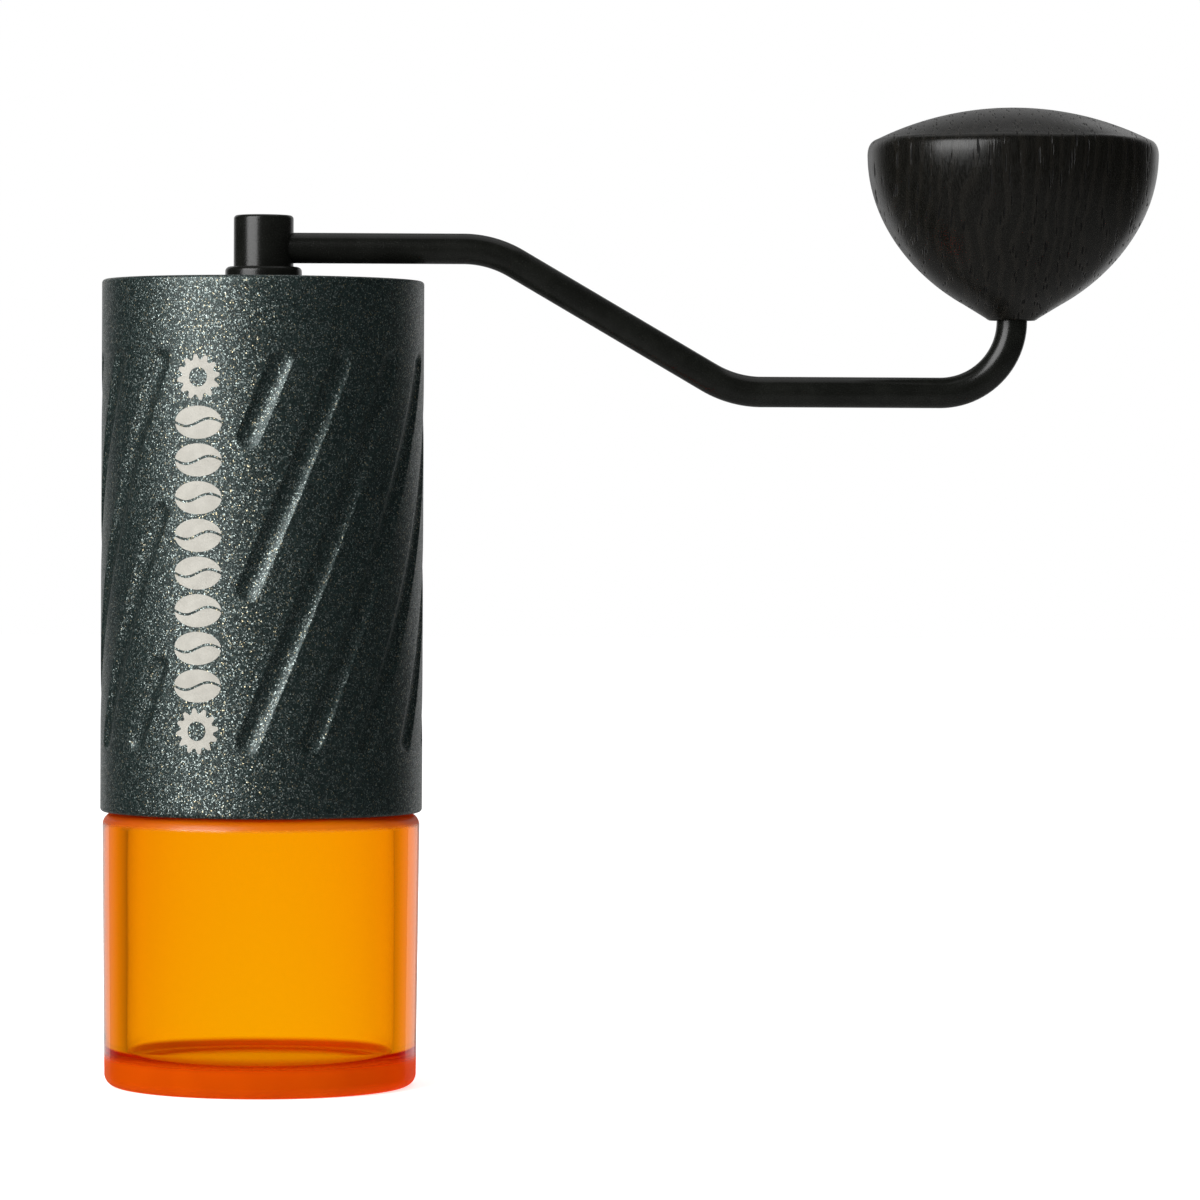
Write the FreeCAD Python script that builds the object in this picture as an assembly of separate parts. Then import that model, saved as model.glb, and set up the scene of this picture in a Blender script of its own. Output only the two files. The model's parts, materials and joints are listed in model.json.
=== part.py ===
import FreeCAD, Part
import math
import os

from FreeCAD import Vector

# Hand crank coffee grinder. Millimetres, +Z up. The origin is the middle of the jar's underside.
# The crank arm points along +X and the blank label panel faces -Y.

# ---- driving dimensions ----------------------------------------------------------------------

# catch jar
JAR_R_BOTTOM = 25.45
JAR_R_TOP = 25.85
JAR_SHOULDER_Z = 44.65
JAR_SHOULDER_ROUND = 2.0
JAR_BASE_ROUND = 2.0
JAR_FLOOR = 4.3
JAR_BORE_R = 21.75
JAR_INNER_ROUND = 2.2
NECK_ROOT_R = 22.6
NECK_TOP_Z = 54.4
JAR_SEAL_R = 23.45
JAR_SEAL_WIRE_R = 0.62

# jar thread, right-handed
THREAD_PITCH = 3.0
THREAD_CREST_R = 23.35
THREAD_BASE_WIDTH = 1.9
THREAD_CREST_WIDTH = 0.9
THREAD_CLEARANCE = 0.25
THREAD_START_Z = 47.9
THREAD_TURNS = 1.6
COLLAR_THREAD_TURNS = 3.6
COLLAR_BOTTOM_Z = 46.1

# outer sleeve
SLEEVE_R = 26.25
SLEEVE_BORE_R = 24.4
SLEEVE_BOTTOM_Z = 44.8
SLEEVE_TOP_Z = 131.45
SLEEVE_EDGE_ROUND = 0.6
LID_SEAT_R = 24.75
LID_SEAT_Z = 129.4

# grip grooves milled round the sleeve, with one blank panel left for a label
GROOVE_COUNT = 16
GROOVE_DEPTH = 0.65
GROOVE_CUTTER_R = 3.0
GROOVE_TWIST = 0.922            # degrees about Z for each millimetre up
GROOVE_LOW_Z = 57.0
GROOVE_HIGH_Z = 117.8
GROOVE_PHASE = -1.5             # degrees from the front at GROOVE_LOW_Z
PANEL_GROOVES = {               # groove number: the stretches that the panel leaves of it
    15: [(81.4, GROOVE_HIGH_Z)],
    14: [(GROOVE_LOW_Z, 68.9), (105.8, GROOVE_HIGH_Z)],
    13: [(GROOVE_LOW_Z, 93.3)],
}

# hopper liner and the two bearing frames
LINER_R_LOW = 22.8
LINER_R_HIGH = 23.2
LINER_STEP_Z = 112.0
LOWER_FRAME_Z = (79.0, 86.0)
UPPER_FRAME_Z = (112.0, 121.0)
FRAME_RING_WALL = 1.6
FRAME_HUB_R = 9.5
SPOKE_COUNT = 3
SPOKE_WIDTH = 4.5
SPOKE_EDGE_ROUND = 1.0
SPOKE_HALF_HEIGHT = 2.6
SEAT_LIP = 0.8                  # how far a bearing seat's lip reaches under the bearing
SCREW_CIRCLE_R = 21.4
SCREW_PAD_R = 3.0
SCREW_R = 1.25
SCREW_HEAD_R = 2.2
SCREW_HEAD_HEIGHT = 1.6
SCREW_END_Z = 72.0

# deep-groove bearings, 7 x 14 x 5
BEARING_R = 7.0
BEARING_BORE_R = 3.5
BEARING_WIDTH = 5.0
BALL_R = 1.0
BALL_COUNT = 9
BALL_CIRCLE_R = 5.25
RACE_WALL = 1.0
RACE_CLEARANCE = 0.08
SHIELD_THICKNESS = 0.25
LOWER_BEARING_Z = 80.0
UPPER_BEARING_Z = 115.0

# axle
AXLE_R = 3.5
AXLE_TOP_HEX = 5.8              # across flats
AXLE_BURR_HEX = 6.0
AXLE_THREAD_R = 3.0
AXLE_BOTTOM_Z = 48.9
AXLE_HEX_TOP_Z = 133.0
AXLE_HEX_Z = 121.8
AXLE_BURR_Z = (57.6, 78.0)
AXLE_CLIP_Z = 120.0

# burrs
BURR_R = 19.0
OUTER_BURR_Z = (59.5, 75.5)
FINE_ZONE_TOP_Z = 65.0
FINE_R_BOTTOM = 16.0
FINE_R_TOP = 13.6
THROAT_R = 15.4
BURR_GAP = 0.35
FINE_TEETH = 36
COARSE_TEETH = 6
FINE_TOOTH_HALF = 0.9
FINE_TOOTH_DEPTH = 0.8
FINE_TOOTH_LEAN = 14.0          # degrees from the burr's slope
INNER_BURR_Z = (57.6, 73.0)
INNER_BURR_TOP_R = 7.4
SPRING_SEAT_R = 5.7
SPRING_SEAT_Z = 66.5
CARRIER_BOTTOM_Z = 57.5
CARRIER_MOUTH_R = 17.2

# burr spring
SPRING_MEAN_R = 4.6
SPRING_WIRE_R = 0.45
SPRING_TURNS = 4.5
THRUST_WASHER_Z = (79.0, 80.0)

# click dial
DETENT_PLATE_Z = (56.4, 57.6)
DETENT_PLATE_R = 11.5
DETENT_COUNT = 24
DETENT_CIRCLE_R = 9.0
DETENT_BALL_R = 1.0
DIAL_R = 13.0
DIAL_Z = (51.6, 56.2)
DIAL_FINGER_GRIPS = 10
DIAL_STOP_Z = (49.9, 50.5)

# lid
LID_R = 24.5
LID_TOP_Z = 131.5
LID_FLANGE_Z = 129.55
LID_EDGE_ROUND = 0.9
LID_SKIRT_R = 22.7
LID_SKIRT_INNER_R = 20.9
LID_SKIRT_Z = 124.5
LID_BOSS_R = 8.0
LID_SEAL_Z = (125.9, 127.3)
BUSH_R = 6.0
BUSH_COLLAR_R = 6.25
BUSH_COLLAR_TOP_Z = 133.7
BUSH_BOTTOM_Z = 124.2

# crank
HUB_R = 4.875
HUB_Z = (122.6, 142.1)
HUB_EDGE_ROUND = 0.6
HUB_SOCKET_HEX = 5.95
HUB_BLIND_X = -3.2              # where the cross hole for the arm ends inside the hub
HUB_CLIP_Z = (122.85, 123.45)
HUB_WASHER_Z = (123.5, 124.1)
HUB_WASHER_R = 6.6
ARM_R = 2.5
ARM_HIGH_Z = 136.8
ARM_LOW_Z = 113.7
ARM_BEND_X = (37.2, 76.8)
ARM_BEND_R = 17.0
ARM_END_BEND_R = 11.7
SET_SCREW_R = 2.0

# knob
KNOB_X = 122.2
KNOB_BOTTOM_Z = 125.6
KNOB_APEX_Z = 160.2
KNOB_R = 23.7
KNOB_WIDEST_Z = 152.6
KNOB_FOOT_R = 4.1
KNOB_FOOT_Z = 126.8             # where the flat foot turns into the bowl
KNOB_BOWL_DEPTH = 27.2
KNOB_DOME_R = 50.0
KNOB_RIM_R = 22.3
KNOB_RIDGE = (23.32, 154.15)    # a point of the soft ridge between bowl and dome
KNOB_BORE_R = 3.6
KNOB_BORE_TOP_Z = 150.5
KNOB_BUSH_TOP_Z = 147.0
KNOB_CLIP_Z = (147.4, 148.1)
ARM_TOP_Z = 149.3

RUNNING_FIT = 0.05              # radial clearance of a shaft in its bush
CLIP_DEPTH = 0.4                # how deep a snap ring's groove goes into its shaft

# ---- shape helpers ---------------------------------------------------------------------------

UP = Vector(0, 0, 1)
ORIGIN = Vector(0, 0, 0)


def disc(radius, z_low, z_high, x=0.0, y=0.0):
    return Part.makeCylinder(radius, z_high - z_low, Vector(x, y, z_low))


def ring(r_outer, r_inner, z_low, z_high, x=0.0):
    """A plain tube on a vertical axis."""
    cutter = disc(r_inner, z_low - 1, z_high + 1, x)
    return disc(r_outer, z_low, z_high, x).cut(cutter)


def cone(r_low, r_high, z_low, z_high):
    return Part.makeCone(r_low, r_high, z_high - z_low, Vector(0, 0, z_low))


def hex_bar(across_flats, z_low, z_high):
    corner_r = across_flats / math.sqrt(3)
    corners = [polar(corner_r, 60 * k, z_low) for k in range(7)]
    return Part.Face(Part.makePolygon(corners)).extrude(Vector(0, 0, z_high - z_low))


def polar(radius, degrees, z):
    """A point at an angle measured anticlockwise from +X."""
    a = math.radians(degrees)
    return Vector(radius * math.cos(a), radius * math.sin(a), z)


def turned(shape, degrees):
    """A copy of a shape turned about the Z axis."""
    copy = shape.copy()
    copy.rotate(ORIGIN, UP, degrees)
    return copy


def repeated(shape, count, start=0.0):
    return [turned(shape, start + 360.0 * k / count) for k in range(count)]


def at(r, z):
    """A point of a turned profile, in the XZ plane."""
    return Vector(r, 0, z)


def line(a, b):
    return Part.makeLine(a, b)


def arc(a, through, b):
    return Part.Arc(a, through, b).toShape()


def corner(centre, radius, from_deg, to_deg):
    """A round stretch of a turned profile, as an arc about a centre in the XZ plane."""
    angles = [math.radians(d) for d in (from_deg, (from_deg + to_deg) / 2.0, to_deg)]
    points = [centre + Vector(radius * math.cos(a), 0, radius * math.sin(a)) for a in angles]
    return arc(*points)


def revolve(edges, x=0.0):
    """A closed profile in the XZ plane, spun about the Z axis and then set at x."""
    face = Part.Face(Part.Wire(Part.__sortEdges__(edges)))
    solid = face.revolve(ORIGIN, UP, 360)
    solid.translate(Vector(x, 0, 0))
    return solid


def closed_profile(points):
    """Straight edges through the points and back to the first."""
    return [line(a, b) for a, b in zip(points, points[1:] + points[:1])]


def coil(wire_r, mean_r, z_low, z_high, turns):
    """A round-wire compression spring that fits between two heights."""
    height = z_high - z_low - 2 * wire_r
    helix = Part.makeHelix(height / turns, height, mean_r)
    start = helix.Edges[0]
    along = start.tangentAt(start.FirstParameter)
    section = Part.Wire([Part.makeCircle(wire_r, Vector(mean_r, 0, 0), along)])
    spring = Part.Wire(helix.Edges).makePipeShell([section], True, True)
    spring.translate(Vector(0, 0, z_low + wire_r))
    return spring


def snap_ring(r_outer, r_inner, z_low, z_high, gap_degrees=40, facing=180, x=0.0):
    """A retaining ring: an open C of square section."""
    body = ring(r_outer, r_inner, z_low, z_high)
    reach = r_outer * 2
    half = gap_degrees / 2.0
    points = [at(0, z_low - 1), polar(reach, -half, z_low - 1), polar(reach, half, z_low - 1)]
    wedge = Part.Face(Part.makePolygon(points + points[:1]))
    wedge = wedge.extrude(Vector(0, 0, z_high - z_low + 2))
    body = body.cut(turned(wedge, facing))
    body.translate(Vector(x, 0, 0))
    return body


# ---- outer sleeve ----------------------------------------------------------------------------


def groove_stretches():
    """Every straight run of groove as (degrees from the front, lowest z, highest z)."""
    stretches = []
    for k in range(GROOVE_COUNT):
        phase = GROOVE_PHASE + 360.0 / GROOVE_COUNT * k
        for low, high in PANEL_GROOVES.get(k, [(GROOVE_LOW_Z, GROOVE_HIGH_Z)]):
            stretches.append((phase + GROOVE_TWIST * (low - GROOVE_LOW_Z), low, high))
    return stretches


def groove_cutter(front_degrees, low, high):
    """The space swept by a ball cutter along one helical groove, with its two round ends."""
    path_r = SLEEVE_R - GROOVE_DEPTH + GROOVE_CUTTER_R
    helix = Part.makeHelix(360.0 / GROOVE_TWIST, high - low, path_r)
    edge = helix.Edges[0]
    start, end = edge.valueAt(edge.FirstParameter), edge.valueAt(edge.LastParameter)
    section = Part.makeCircle(GROOVE_CUTTER_R, start, edge.tangentAt(edge.FirstParameter))
    run = Part.Wire(helix.Edges).makePipeShell([Part.Wire([section])], True, True)
    balls = [Part.makeSphere(GROOVE_CUTTER_R, point) for point in (start, end)]
    pieces = [run] + balls
    for piece in pieces:
        piece.translate(Vector(0, 0, low))
        piece.rotate(ORIGIN, UP, front_degrees - 90)
    return pieces


def outer_sleeve():
    round_ = SLEEVE_EDGE_ROUND
    outer, bore = SLEEVE_R, SLEEVE_BORE_R
    low, high = SLEEVE_BOTTOM_Z, SLEEVE_TOP_Z
    body = revolve([
        line(at(bore, low), at(outer - round_, low)),
        corner(at(outer - round_, low + round_), round_, -90, 0),
        line(at(outer, low + round_), at(outer, high - round_)),
        corner(at(outer - round_, high - round_), round_, 0, 90),
        line(at(outer - round_, high), at(LID_SEAT_R, high)),
        line(at(LID_SEAT_R, high), at(LID_SEAT_R, LID_SEAT_Z)),
        line(at(LID_SEAT_R, LID_SEAT_Z), at(bore, LID_SEAT_Z)),
        line(at(bore, LID_SEAT_Z), at(bore, low)),
    ])
    cutters = [groove_cutter(*stretch) for stretch in groove_stretches()]
    body = body.cut([pieces[0] for pieces in cutters])
    return body.cut([ball for pieces in cutters for ball in pieces[1:]])


# ---- catch jar and its threaded collar -------------------------------------------------------


def thread_ridge(root_r, crest_r, root_width, crest_width, z_start, turns):
    """A helical ridge of trapezium section, standing out from root_r to crest_r."""
    foot = 0.3                  # how far the section reaches into the wall behind it
    slope = (root_width - crest_width) / 2.0 / (crest_r - root_r)
    back = root_width / 2.0 + foot * slope
    points = [
        at(root_r - foot, -back), at(crest_r, -crest_width / 2.0),
        at(crest_r, crest_width / 2.0), at(root_r - foot, back),
    ]
    helix = Part.makeHelix(THREAD_PITCH, THREAD_PITCH * turns, root_r)
    section = Part.Wire(closed_profile(points))
    ridge = Part.Wire(helix.Edges).makePipeShell([section], True, True)
    ridge.translate(Vector(0, 0, z_start))
    return ridge


def catch_jar():
    shoulder_round = JAR_SHOULDER_ROUND
    base = JAR_BASE_ROUND
    inner = JAR_INNER_ROUND
    shoulder, top, floor = JAR_SHOULDER_Z, NECK_TOP_Z, JAR_FLOOR
    wall_top = shoulder - shoulder_round
    lip = 0.35
    wall = revolve([
        line(at(0, 0), at(JAR_R_BOTTOM - base, 0)),
        corner(at(JAR_R_BOTTOM - base, base), base, -90, 0),
        line(at(JAR_R_BOTTOM, base), at(JAR_R_TOP, wall_top)),
        corner(at(JAR_R_TOP - shoulder_round, wall_top), shoulder_round, 0, 90),
        line(at(JAR_R_TOP - shoulder_round, shoulder), at(NECK_ROOT_R, shoulder)),
        line(at(NECK_ROOT_R, shoulder), at(NECK_ROOT_R, top - lip)),
        line(at(NECK_ROOT_R, top - lip), at(NECK_ROOT_R - lip, top)),
        line(at(NECK_ROOT_R - lip, top), at(JAR_BORE_R, top)),
        line(at(JAR_BORE_R, top), at(JAR_BORE_R, floor + inner)),
        corner(at(JAR_BORE_R - inner, floor + inner), inner, 0, -90),
        line(at(JAR_BORE_R - inner, floor), at(0, floor)),
        line(at(0, floor), at(0, 0)),
    ])
    ridge = thread_ridge(
        NECK_ROOT_R, THREAD_CREST_R, THREAD_BASE_WIDTH, THREAD_CREST_WIDTH,
        THREAD_START_Z, THREAD_TURNS,
    )
    return wall.fuse(ridge).removeSplitter()


def jar_collar():
    """The threaded ring inside the sleeve that the jar's neck screws into."""
    gap = THREAD_CLEARANCE
    minor_r = NECK_ROOT_R + gap
    major_r = THREAD_CREST_R + gap
    slope = (THREAD_BASE_WIDTH - THREAD_CREST_WIDTH) / (THREAD_CREST_R - NECK_ROOT_R)
    mouth = THREAD_BASE_WIDTH - slope * gap + 2 * gap
    floor = THREAD_CREST_WIDTH - slope * gap + 2 * gap
    body = ring(SLEEVE_BORE_R, minor_r, COLLAR_BOTTOM_Z, CARRIER_BOTTOM_Z)
    start = THREAD_START_Z - THREAD_PITCH
    return body.cut(thread_ridge(minor_r, major_r, mouth, floor, start, COLLAR_THREAD_TURNS))


def jar_seal():
    rest_z = JAR_SHOULDER_Z + JAR_SEAL_WIRE_R + 0.05
    return Part.makeTorus(JAR_SEAL_R, JAR_SEAL_WIRE_R, Vector(0, 0, rest_z), UP)


# ---- hopper liner and bearing frames ---------------------------------------------------------


def hopper_liner():
    low = ring(SLEEVE_BORE_R, LINER_R_LOW, LOWER_FRAME_Z[1], LINER_STEP_Z)
    high = ring(SLEEVE_BORE_R, LINER_R_HIGH, LINER_STEP_Z, LID_SEAT_Z)
    slot_r = LINER_R_HIGH + 0.7
    slot = disc(slot_r, UPPER_FRAME_Z[1], UPPER_FRAME_Z[1] + 1.0)
    return low.fuse(high).removeSplitter().cut(slot)


def spider(ring_r, z_low, z_high, bearing_z):
    """Ring, three spokes and a hub with a shouldered seat for a bearing."""
    middle = (z_low + z_high) / 2.0
    low_corner = Vector(0, -SPOKE_WIDTH / 2.0, middle - SPOKE_HALF_HEIGHT)
    spoke = Part.makeBox(ring_r - 0.5, SPOKE_WIDTH, 2 * SPOKE_HALF_HEIGHT, low_corner)
    long_edges = [e for e in spoke.Edges if abs(e.tangentAt(e.FirstParameter).x) > 0.9]
    spoke = spoke.makeFillet(SPOKE_EDGE_ROUND, long_edges)
    hub = disc(FRAME_HUB_R, bearing_z - 1.6, z_high)
    body = ring(ring_r, ring_r - FRAME_RING_WALL, z_low, z_high)
    body = body.fuse([hub] + repeated(spoke, SPOKE_COUNT))
    body = body.cut(disc(BEARING_R - SEAT_LIP, z_low - 2, z_high + 2))
    return body.cut(disc(BEARING_R, bearing_z, z_high + 2))


def upper_frame():
    return spider(LINER_R_HIGH, UPPER_FRAME_Z[0], UPPER_FRAME_Z[1], UPPER_BEARING_Z)


def frame_snap_ring():
    low = UPPER_FRAME_Z[1]
    return snap_ring(LINER_R_HIGH + 0.65, LINER_R_HIGH - 1.2, low, low + 0.95)


def lower_frame():
    low, high = LOWER_FRAME_Z
    body = spider(SLEEVE_BORE_R, low, high, LOWER_BEARING_Z)
    pad = disc(SCREW_PAD_R, low, high, SCREW_CIRCLE_R)
    body = body.fuse(repeated(pad, SPOKE_COUNT)).removeSplitter()
    hole = disc(SCREW_R, low - 1, high + 1, SCREW_CIRCLE_R)
    head = disc(SCREW_HEAD_R, high - SCREW_HEAD_HEIGHT, high + 1, SCREW_CIRCLE_R)
    return body.cut(repeated(hole.fuse(head), SPOKE_COUNT))


def frame_screws():
    """Three cap screws, with hexagon sockets, that hold the lower frame to the burr carrier."""
    top = LOWER_FRAME_Z[1]
    shank = disc(SCREW_R, SCREW_END_Z, top)
    head = disc(SCREW_HEAD_R, top - SCREW_HEAD_HEIGHT, top - 0.05)
    socket = hex_bar(2.0, top - 1.1, top + 1)
    screw = shank.fuse(head).removeSplitter().cut(socket)
    screw = screw.common(disc(SCREW_HEAD_R + 1, SCREW_END_Z - 1, top - 0.05))
    screw.translate(Vector(SCREW_CIRCLE_R, 0, 0))
    return Part.makeCompound(repeated(screw, SPOKE_COUNT))


# ---- bearings --------------------------------------------------------------------------------


def race_track(z):
    track_r = BALL_R + RACE_CLEARANCE
    return Part.makeTorus(BALL_CIRCLE_R, track_r, Vector(0, 0, z + BEARING_WIDTH / 2.0), UP)


def outer_race(z):
    body = ring(BEARING_R, BEARING_R - RACE_WALL, z, z + BEARING_WIDTH)
    return body.cut(race_track(z))


def inner_race(z):
    body = ring(BEARING_BORE_R + RACE_WALL, BEARING_BORE_R, z, z + BEARING_WIDTH)
    return body.cut(race_track(z))


def bearing_shields(z):
    """The two thin covers in the mouths of a bearing."""
    outer_r, inner_r = BEARING_R - RACE_WALL, BEARING_BORE_R + RACE_WALL + 0.15
    inset = 0.1
    lows = [z + inset, z + BEARING_WIDTH - inset - SHIELD_THICKNESS]
    return Part.makeCompound([ring(outer_r, inner_r, low, low + SHIELD_THICKNESS) for low in lows])


def bearing_balls(z):
    centre = Vector(BALL_CIRCLE_R, 0, z + BEARING_WIDTH / 2.0)
    return Part.makeCompound(repeated(Part.makeSphere(BALL_R, centre), BALL_COUNT))


def ball_cage(z):
    middle = z + BEARING_WIDTH / 2.0
    half = 1.6
    wall = 0.6
    band = ring(BALL_CIRCLE_R + wall / 2, BALL_CIRCLE_R - wall / 2, middle - half, middle + half)
    start = Vector(BALL_CIRCLE_R - wall, 0, middle)
    pocket = Part.makeCylinder(BALL_R + RACE_CLEARANCE, 2 * wall, start, Vector(1, 0, 0))
    return band.cut(repeated(pocket, BALL_COUNT))


# ---- burrs -----------------------------------------------------------------------------------


def burr_carrier():
    """The ring that holds the outer burr, with a funnel above it and a lip below it."""
    top = LOWER_FRAME_Z[0]
    seat_low, seat_high = OUTER_BURR_Z
    slot_top = seat_high + 1.1
    body = disc(SLEEVE_BORE_R, CARRIER_BOTTOM_Z, top)
    body = body.cut(disc(CARRIER_MOUTH_R, CARRIER_BOTTOM_Z - 1, top + 1))
    body = body.cut(disc(BURR_R, seat_low, top + 1))
    body = body.cut(disc(BURR_R + 1.0, seat_high, slot_top))
    body = body.cut(cone(BURR_R, LINER_R_LOW, slot_top, top))
    hole = disc(SCREW_R, SCREW_END_Z, top + 1, SCREW_CIRCLE_R)
    return body.cut(repeated(hole, SPOKE_COUNT))


def burr_snap_ring():
    low = OUTER_BURR_Z[1]
    return snap_ring(BURR_R + 0.95, BURR_R - 1.2, low, low + 1.05)


def bar_along(start, end, half_width, depth, lean):
    """A three-sided cutting bar from start to end, its sharp edge depth below that line."""
    along = end - start
    points = [Vector(-depth, 0, 0), Vector(depth, -half_width, 0), Vector(depth, half_width, 0)]
    bar = Part.Face(Part.makePolygon(points + points[:1])).extrude(Vector(0, 0, along.Length))
    bar.rotate(ORIGIN, Vector(1, 0, 0), lean)
    tilt = math.degrees(math.atan2(along.x, along.z))
    bar.rotate(ORIGIN, Vector(0, 1, 0), tilt)
    bar.translate(start)
    return bar


def outer_burr():
    low, high = OUTER_BURR_Z
    body = disc(BURR_R, low, high)
    body = body.cut(revolve(closed_profile([
        at(0, low - 1), at(FINE_R_BOTTOM, low - 1), at(FINE_R_BOTTOM, low),
        at(FINE_R_TOP, FINE_ZONE_TOP_Z), at(THROAT_R, high), at(THROAT_R, high + 1), at(0, high + 1),
    ])))
    fine_start, fine_end = at(FINE_R_BOTTOM, low - 0.4), at(FINE_R_TOP, FINE_ZONE_TOP_Z + 0.6)
    coarse_start, coarse_end = at(FINE_R_TOP, FINE_ZONE_TOP_Z - 1.0), at(THROAT_R, high + 1)
    fine = bar_along(fine_start, fine_end, FINE_TOOTH_HALF, -FINE_TOOTH_DEPTH, FINE_TOOTH_LEAN)
    coarse = bar_along(coarse_start, coarse_end, 4.0, -2.2, 22)
    return body.cut(repeated(fine, FINE_TEETH)).cut(repeated(coarse, COARSE_TEETH))


def inner_burr():
    low, high = INNER_BURR_Z
    lip_z = OUTER_BURR_Z[0]
    body = revolve(closed_profile([
        at(0, low), at(FINE_R_BOTTOM - BURR_GAP, low), at(FINE_R_BOTTOM - BURR_GAP, lip_z),
        at(FINE_R_TOP - BURR_GAP, FINE_ZONE_TOP_Z), at(INNER_BURR_TOP_R, high - 0.6),
        at(INNER_BURR_TOP_R - 0.6, high), at(0, high),
    ]))
    fine_start = at(FINE_R_BOTTOM - BURR_GAP, low - 0.4)
    fine_end = at(FINE_R_TOP - BURR_GAP, FINE_ZONE_TOP_Z + 0.4)
    coarse_start = at(FINE_R_TOP + 0.4, FINE_ZONE_TOP_Z - 1.2)
    coarse_end = at(INNER_BURR_TOP_R + 0.9, high + 1)
    fine = bar_along(fine_start, fine_end, FINE_TOOTH_HALF, FINE_TOOTH_DEPTH, -FINE_TOOTH_LEAN)
    coarse = bar_along(coarse_start, coarse_end, 3.2, 2.4, -24)
    body = body.cut(repeated(fine, FINE_TEETH)).cut(repeated(coarse, COARSE_TEETH))
    body = body.cut(hex_bar(AXLE_BURR_HEX + 2 * RUNNING_FIT, low - 1, high + 1))
    return body.cut(disc(SPRING_SEAT_R, SPRING_SEAT_Z, high + 1))


def burr_spring():
    return coil(SPRING_WIRE_R, SPRING_MEAN_R, SPRING_SEAT_Z, THRUST_WASHER_Z[0], SPRING_TURNS)


# ---- click dial ------------------------------------------------------------------------------


def detent_plate():
    low, high = DETENT_PLATE_Z
    body = ring(DETENT_PLATE_R, AXLE_BURR_HEX / math.sqrt(3) + 0.15, low, high)
    dimple_r = DETENT_BALL_R + 0.1
    dimple = Part.makeSphere(dimple_r, Vector(DETENT_CIRCLE_R, 0, low + 0.35 - dimple_r))
    return body.cut(repeated(dimple, DETENT_COUNT))


def adjusting_dial():
    low, high = DIAL_Z
    body = disc(DIAL_R, low, high)
    rims = [e for e in body.Edges if abs(e.Length - 2 * math.pi * DIAL_R) < 0.01]
    body = body.makeChamfer(0.5, rims)
    grip_r = 3.0
    grip = disc(grip_r, low - 1, high + 1, DIAL_R + grip_r - 1.0)
    body = body.cut(repeated(grip, DIAL_FINGER_GRIPS))
    body = body.cut(disc(AXLE_THREAD_R + RUNNING_FIT, low - 1, high + 1))
    body = body.cut(disc(7.0, low - 1, low + 1.2))
    pocket = disc(DETENT_BALL_R + 0.1, low + 0.8, high + 1, DETENT_CIRCLE_R)
    return body.cut(repeated(pocket, 2))


def detent_balls():
    centre = Vector(DETENT_CIRCLE_R, 0, DETENT_PLATE_Z[0] - DETENT_BALL_R - 0.03)
    return Part.makeCompound(repeated(Part.makeSphere(DETENT_BALL_R, centre), 2))


def detent_springs():
    spring = coil(0.16, 0.7, DIAL_Z[0] + 0.8, DETENT_PLATE_Z[0] - 2 * DETENT_BALL_R - 0.04, 3.5)
    spring.translate(Vector(DETENT_CIRCLE_R, 0, 0))
    return Part.makeCompound(repeated(spring, 2))


# ---- axle ------------------------------------------------------------------------------------


def axle():
    burr_low, burr_high = AXLE_BURR_Z
    body = disc(AXLE_R, burr_high, AXLE_HEX_Z)
    tip = hex_bar(AXLE_TOP_HEX, AXLE_HEX_Z, AXLE_HEX_TOP_Z)
    tip = tip.common(cone(AXLE_HEX_TOP_Z - AXLE_HEX_Z + 2.9, 2.9, AXLE_HEX_Z, AXLE_HEX_TOP_Z))
    square = hex_bar(AXLE_BURR_HEX, burr_low, burr_high)
    tail = disc(AXLE_THREAD_R, AXLE_BOTTOM_Z, burr_low)
    body = body.fuse([tip, square, tail]).removeSplitter()
    for low, high, r in (
        (AXLE_CLIP_Z, AXLE_CLIP_Z + 0.8, AXLE_R - CLIP_DEPTH),
        (DIAL_STOP_Z[0], DIAL_STOP_Z[1], AXLE_THREAD_R - 0.5),
    ):
        body = body.cut(ring(AXLE_R + 1, r, low, high))
    return body


def axle_spacer():
    return ring(AXLE_R + 0.9, AXLE_R, LOWER_BEARING_Z + BEARING_WIDTH, UPPER_BEARING_Z)


def axle_snap_ring():
    return snap_ring(AXLE_R + 0.95, AXLE_R - CLIP_DEPTH, AXLE_CLIP_Z, AXLE_CLIP_Z + 0.8)


def thrust_washer():
    return ring(AXLE_R + 1.8, AXLE_R, *THRUST_WASHER_Z)


def dial_stop_ring():
    return snap_ring(AXLE_THREAD_R + 1.4, AXLE_THREAD_R - 0.5, *DIAL_STOP_Z)


# ---- lid -------------------------------------------------------------------------------------


def lid():
    top, flange, foot = LID_TOP_Z, LID_FLANGE_Z, LID_SKIRT_Z
    round_ = LID_EDGE_ROUND
    web = 2.2
    body = revolve([
        line(at(BUSH_R, top), at(LID_R - round_, top)),
        corner(at(LID_R - round_, top - round_), round_, 90, 0),
        line(at(LID_R, top - round_), at(LID_R, flange)),
        line(at(LID_R, flange), at(LID_SKIRT_R, flange)),
        line(at(LID_SKIRT_R, flange), at(LID_SKIRT_R, foot)),
        line(at(LID_SKIRT_R, foot), at(LID_SKIRT_INNER_R, foot)),
        line(at(LID_SKIRT_INNER_R, foot), at(LID_SKIRT_INNER_R, top - web)),
        line(at(LID_SKIRT_INNER_R, top - web), at(LID_BOSS_R, top - web)),
        line(at(LID_BOSS_R, top - web), at(LID_BOSS_R, BUSH_BOTTOM_Z)),
        line(at(LID_BOSS_R, BUSH_BOTTOM_Z), at(BUSH_R, BUSH_BOTTOM_Z)),
        line(at(BUSH_R, BUSH_BOTTOM_Z), at(BUSH_R, top)),
    ])
    seal_slot = ring(LID_SKIRT_R + 1, LID_SKIRT_R - 0.7, *LID_SEAL_Z)
    return body.cut(seal_slot)


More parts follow.
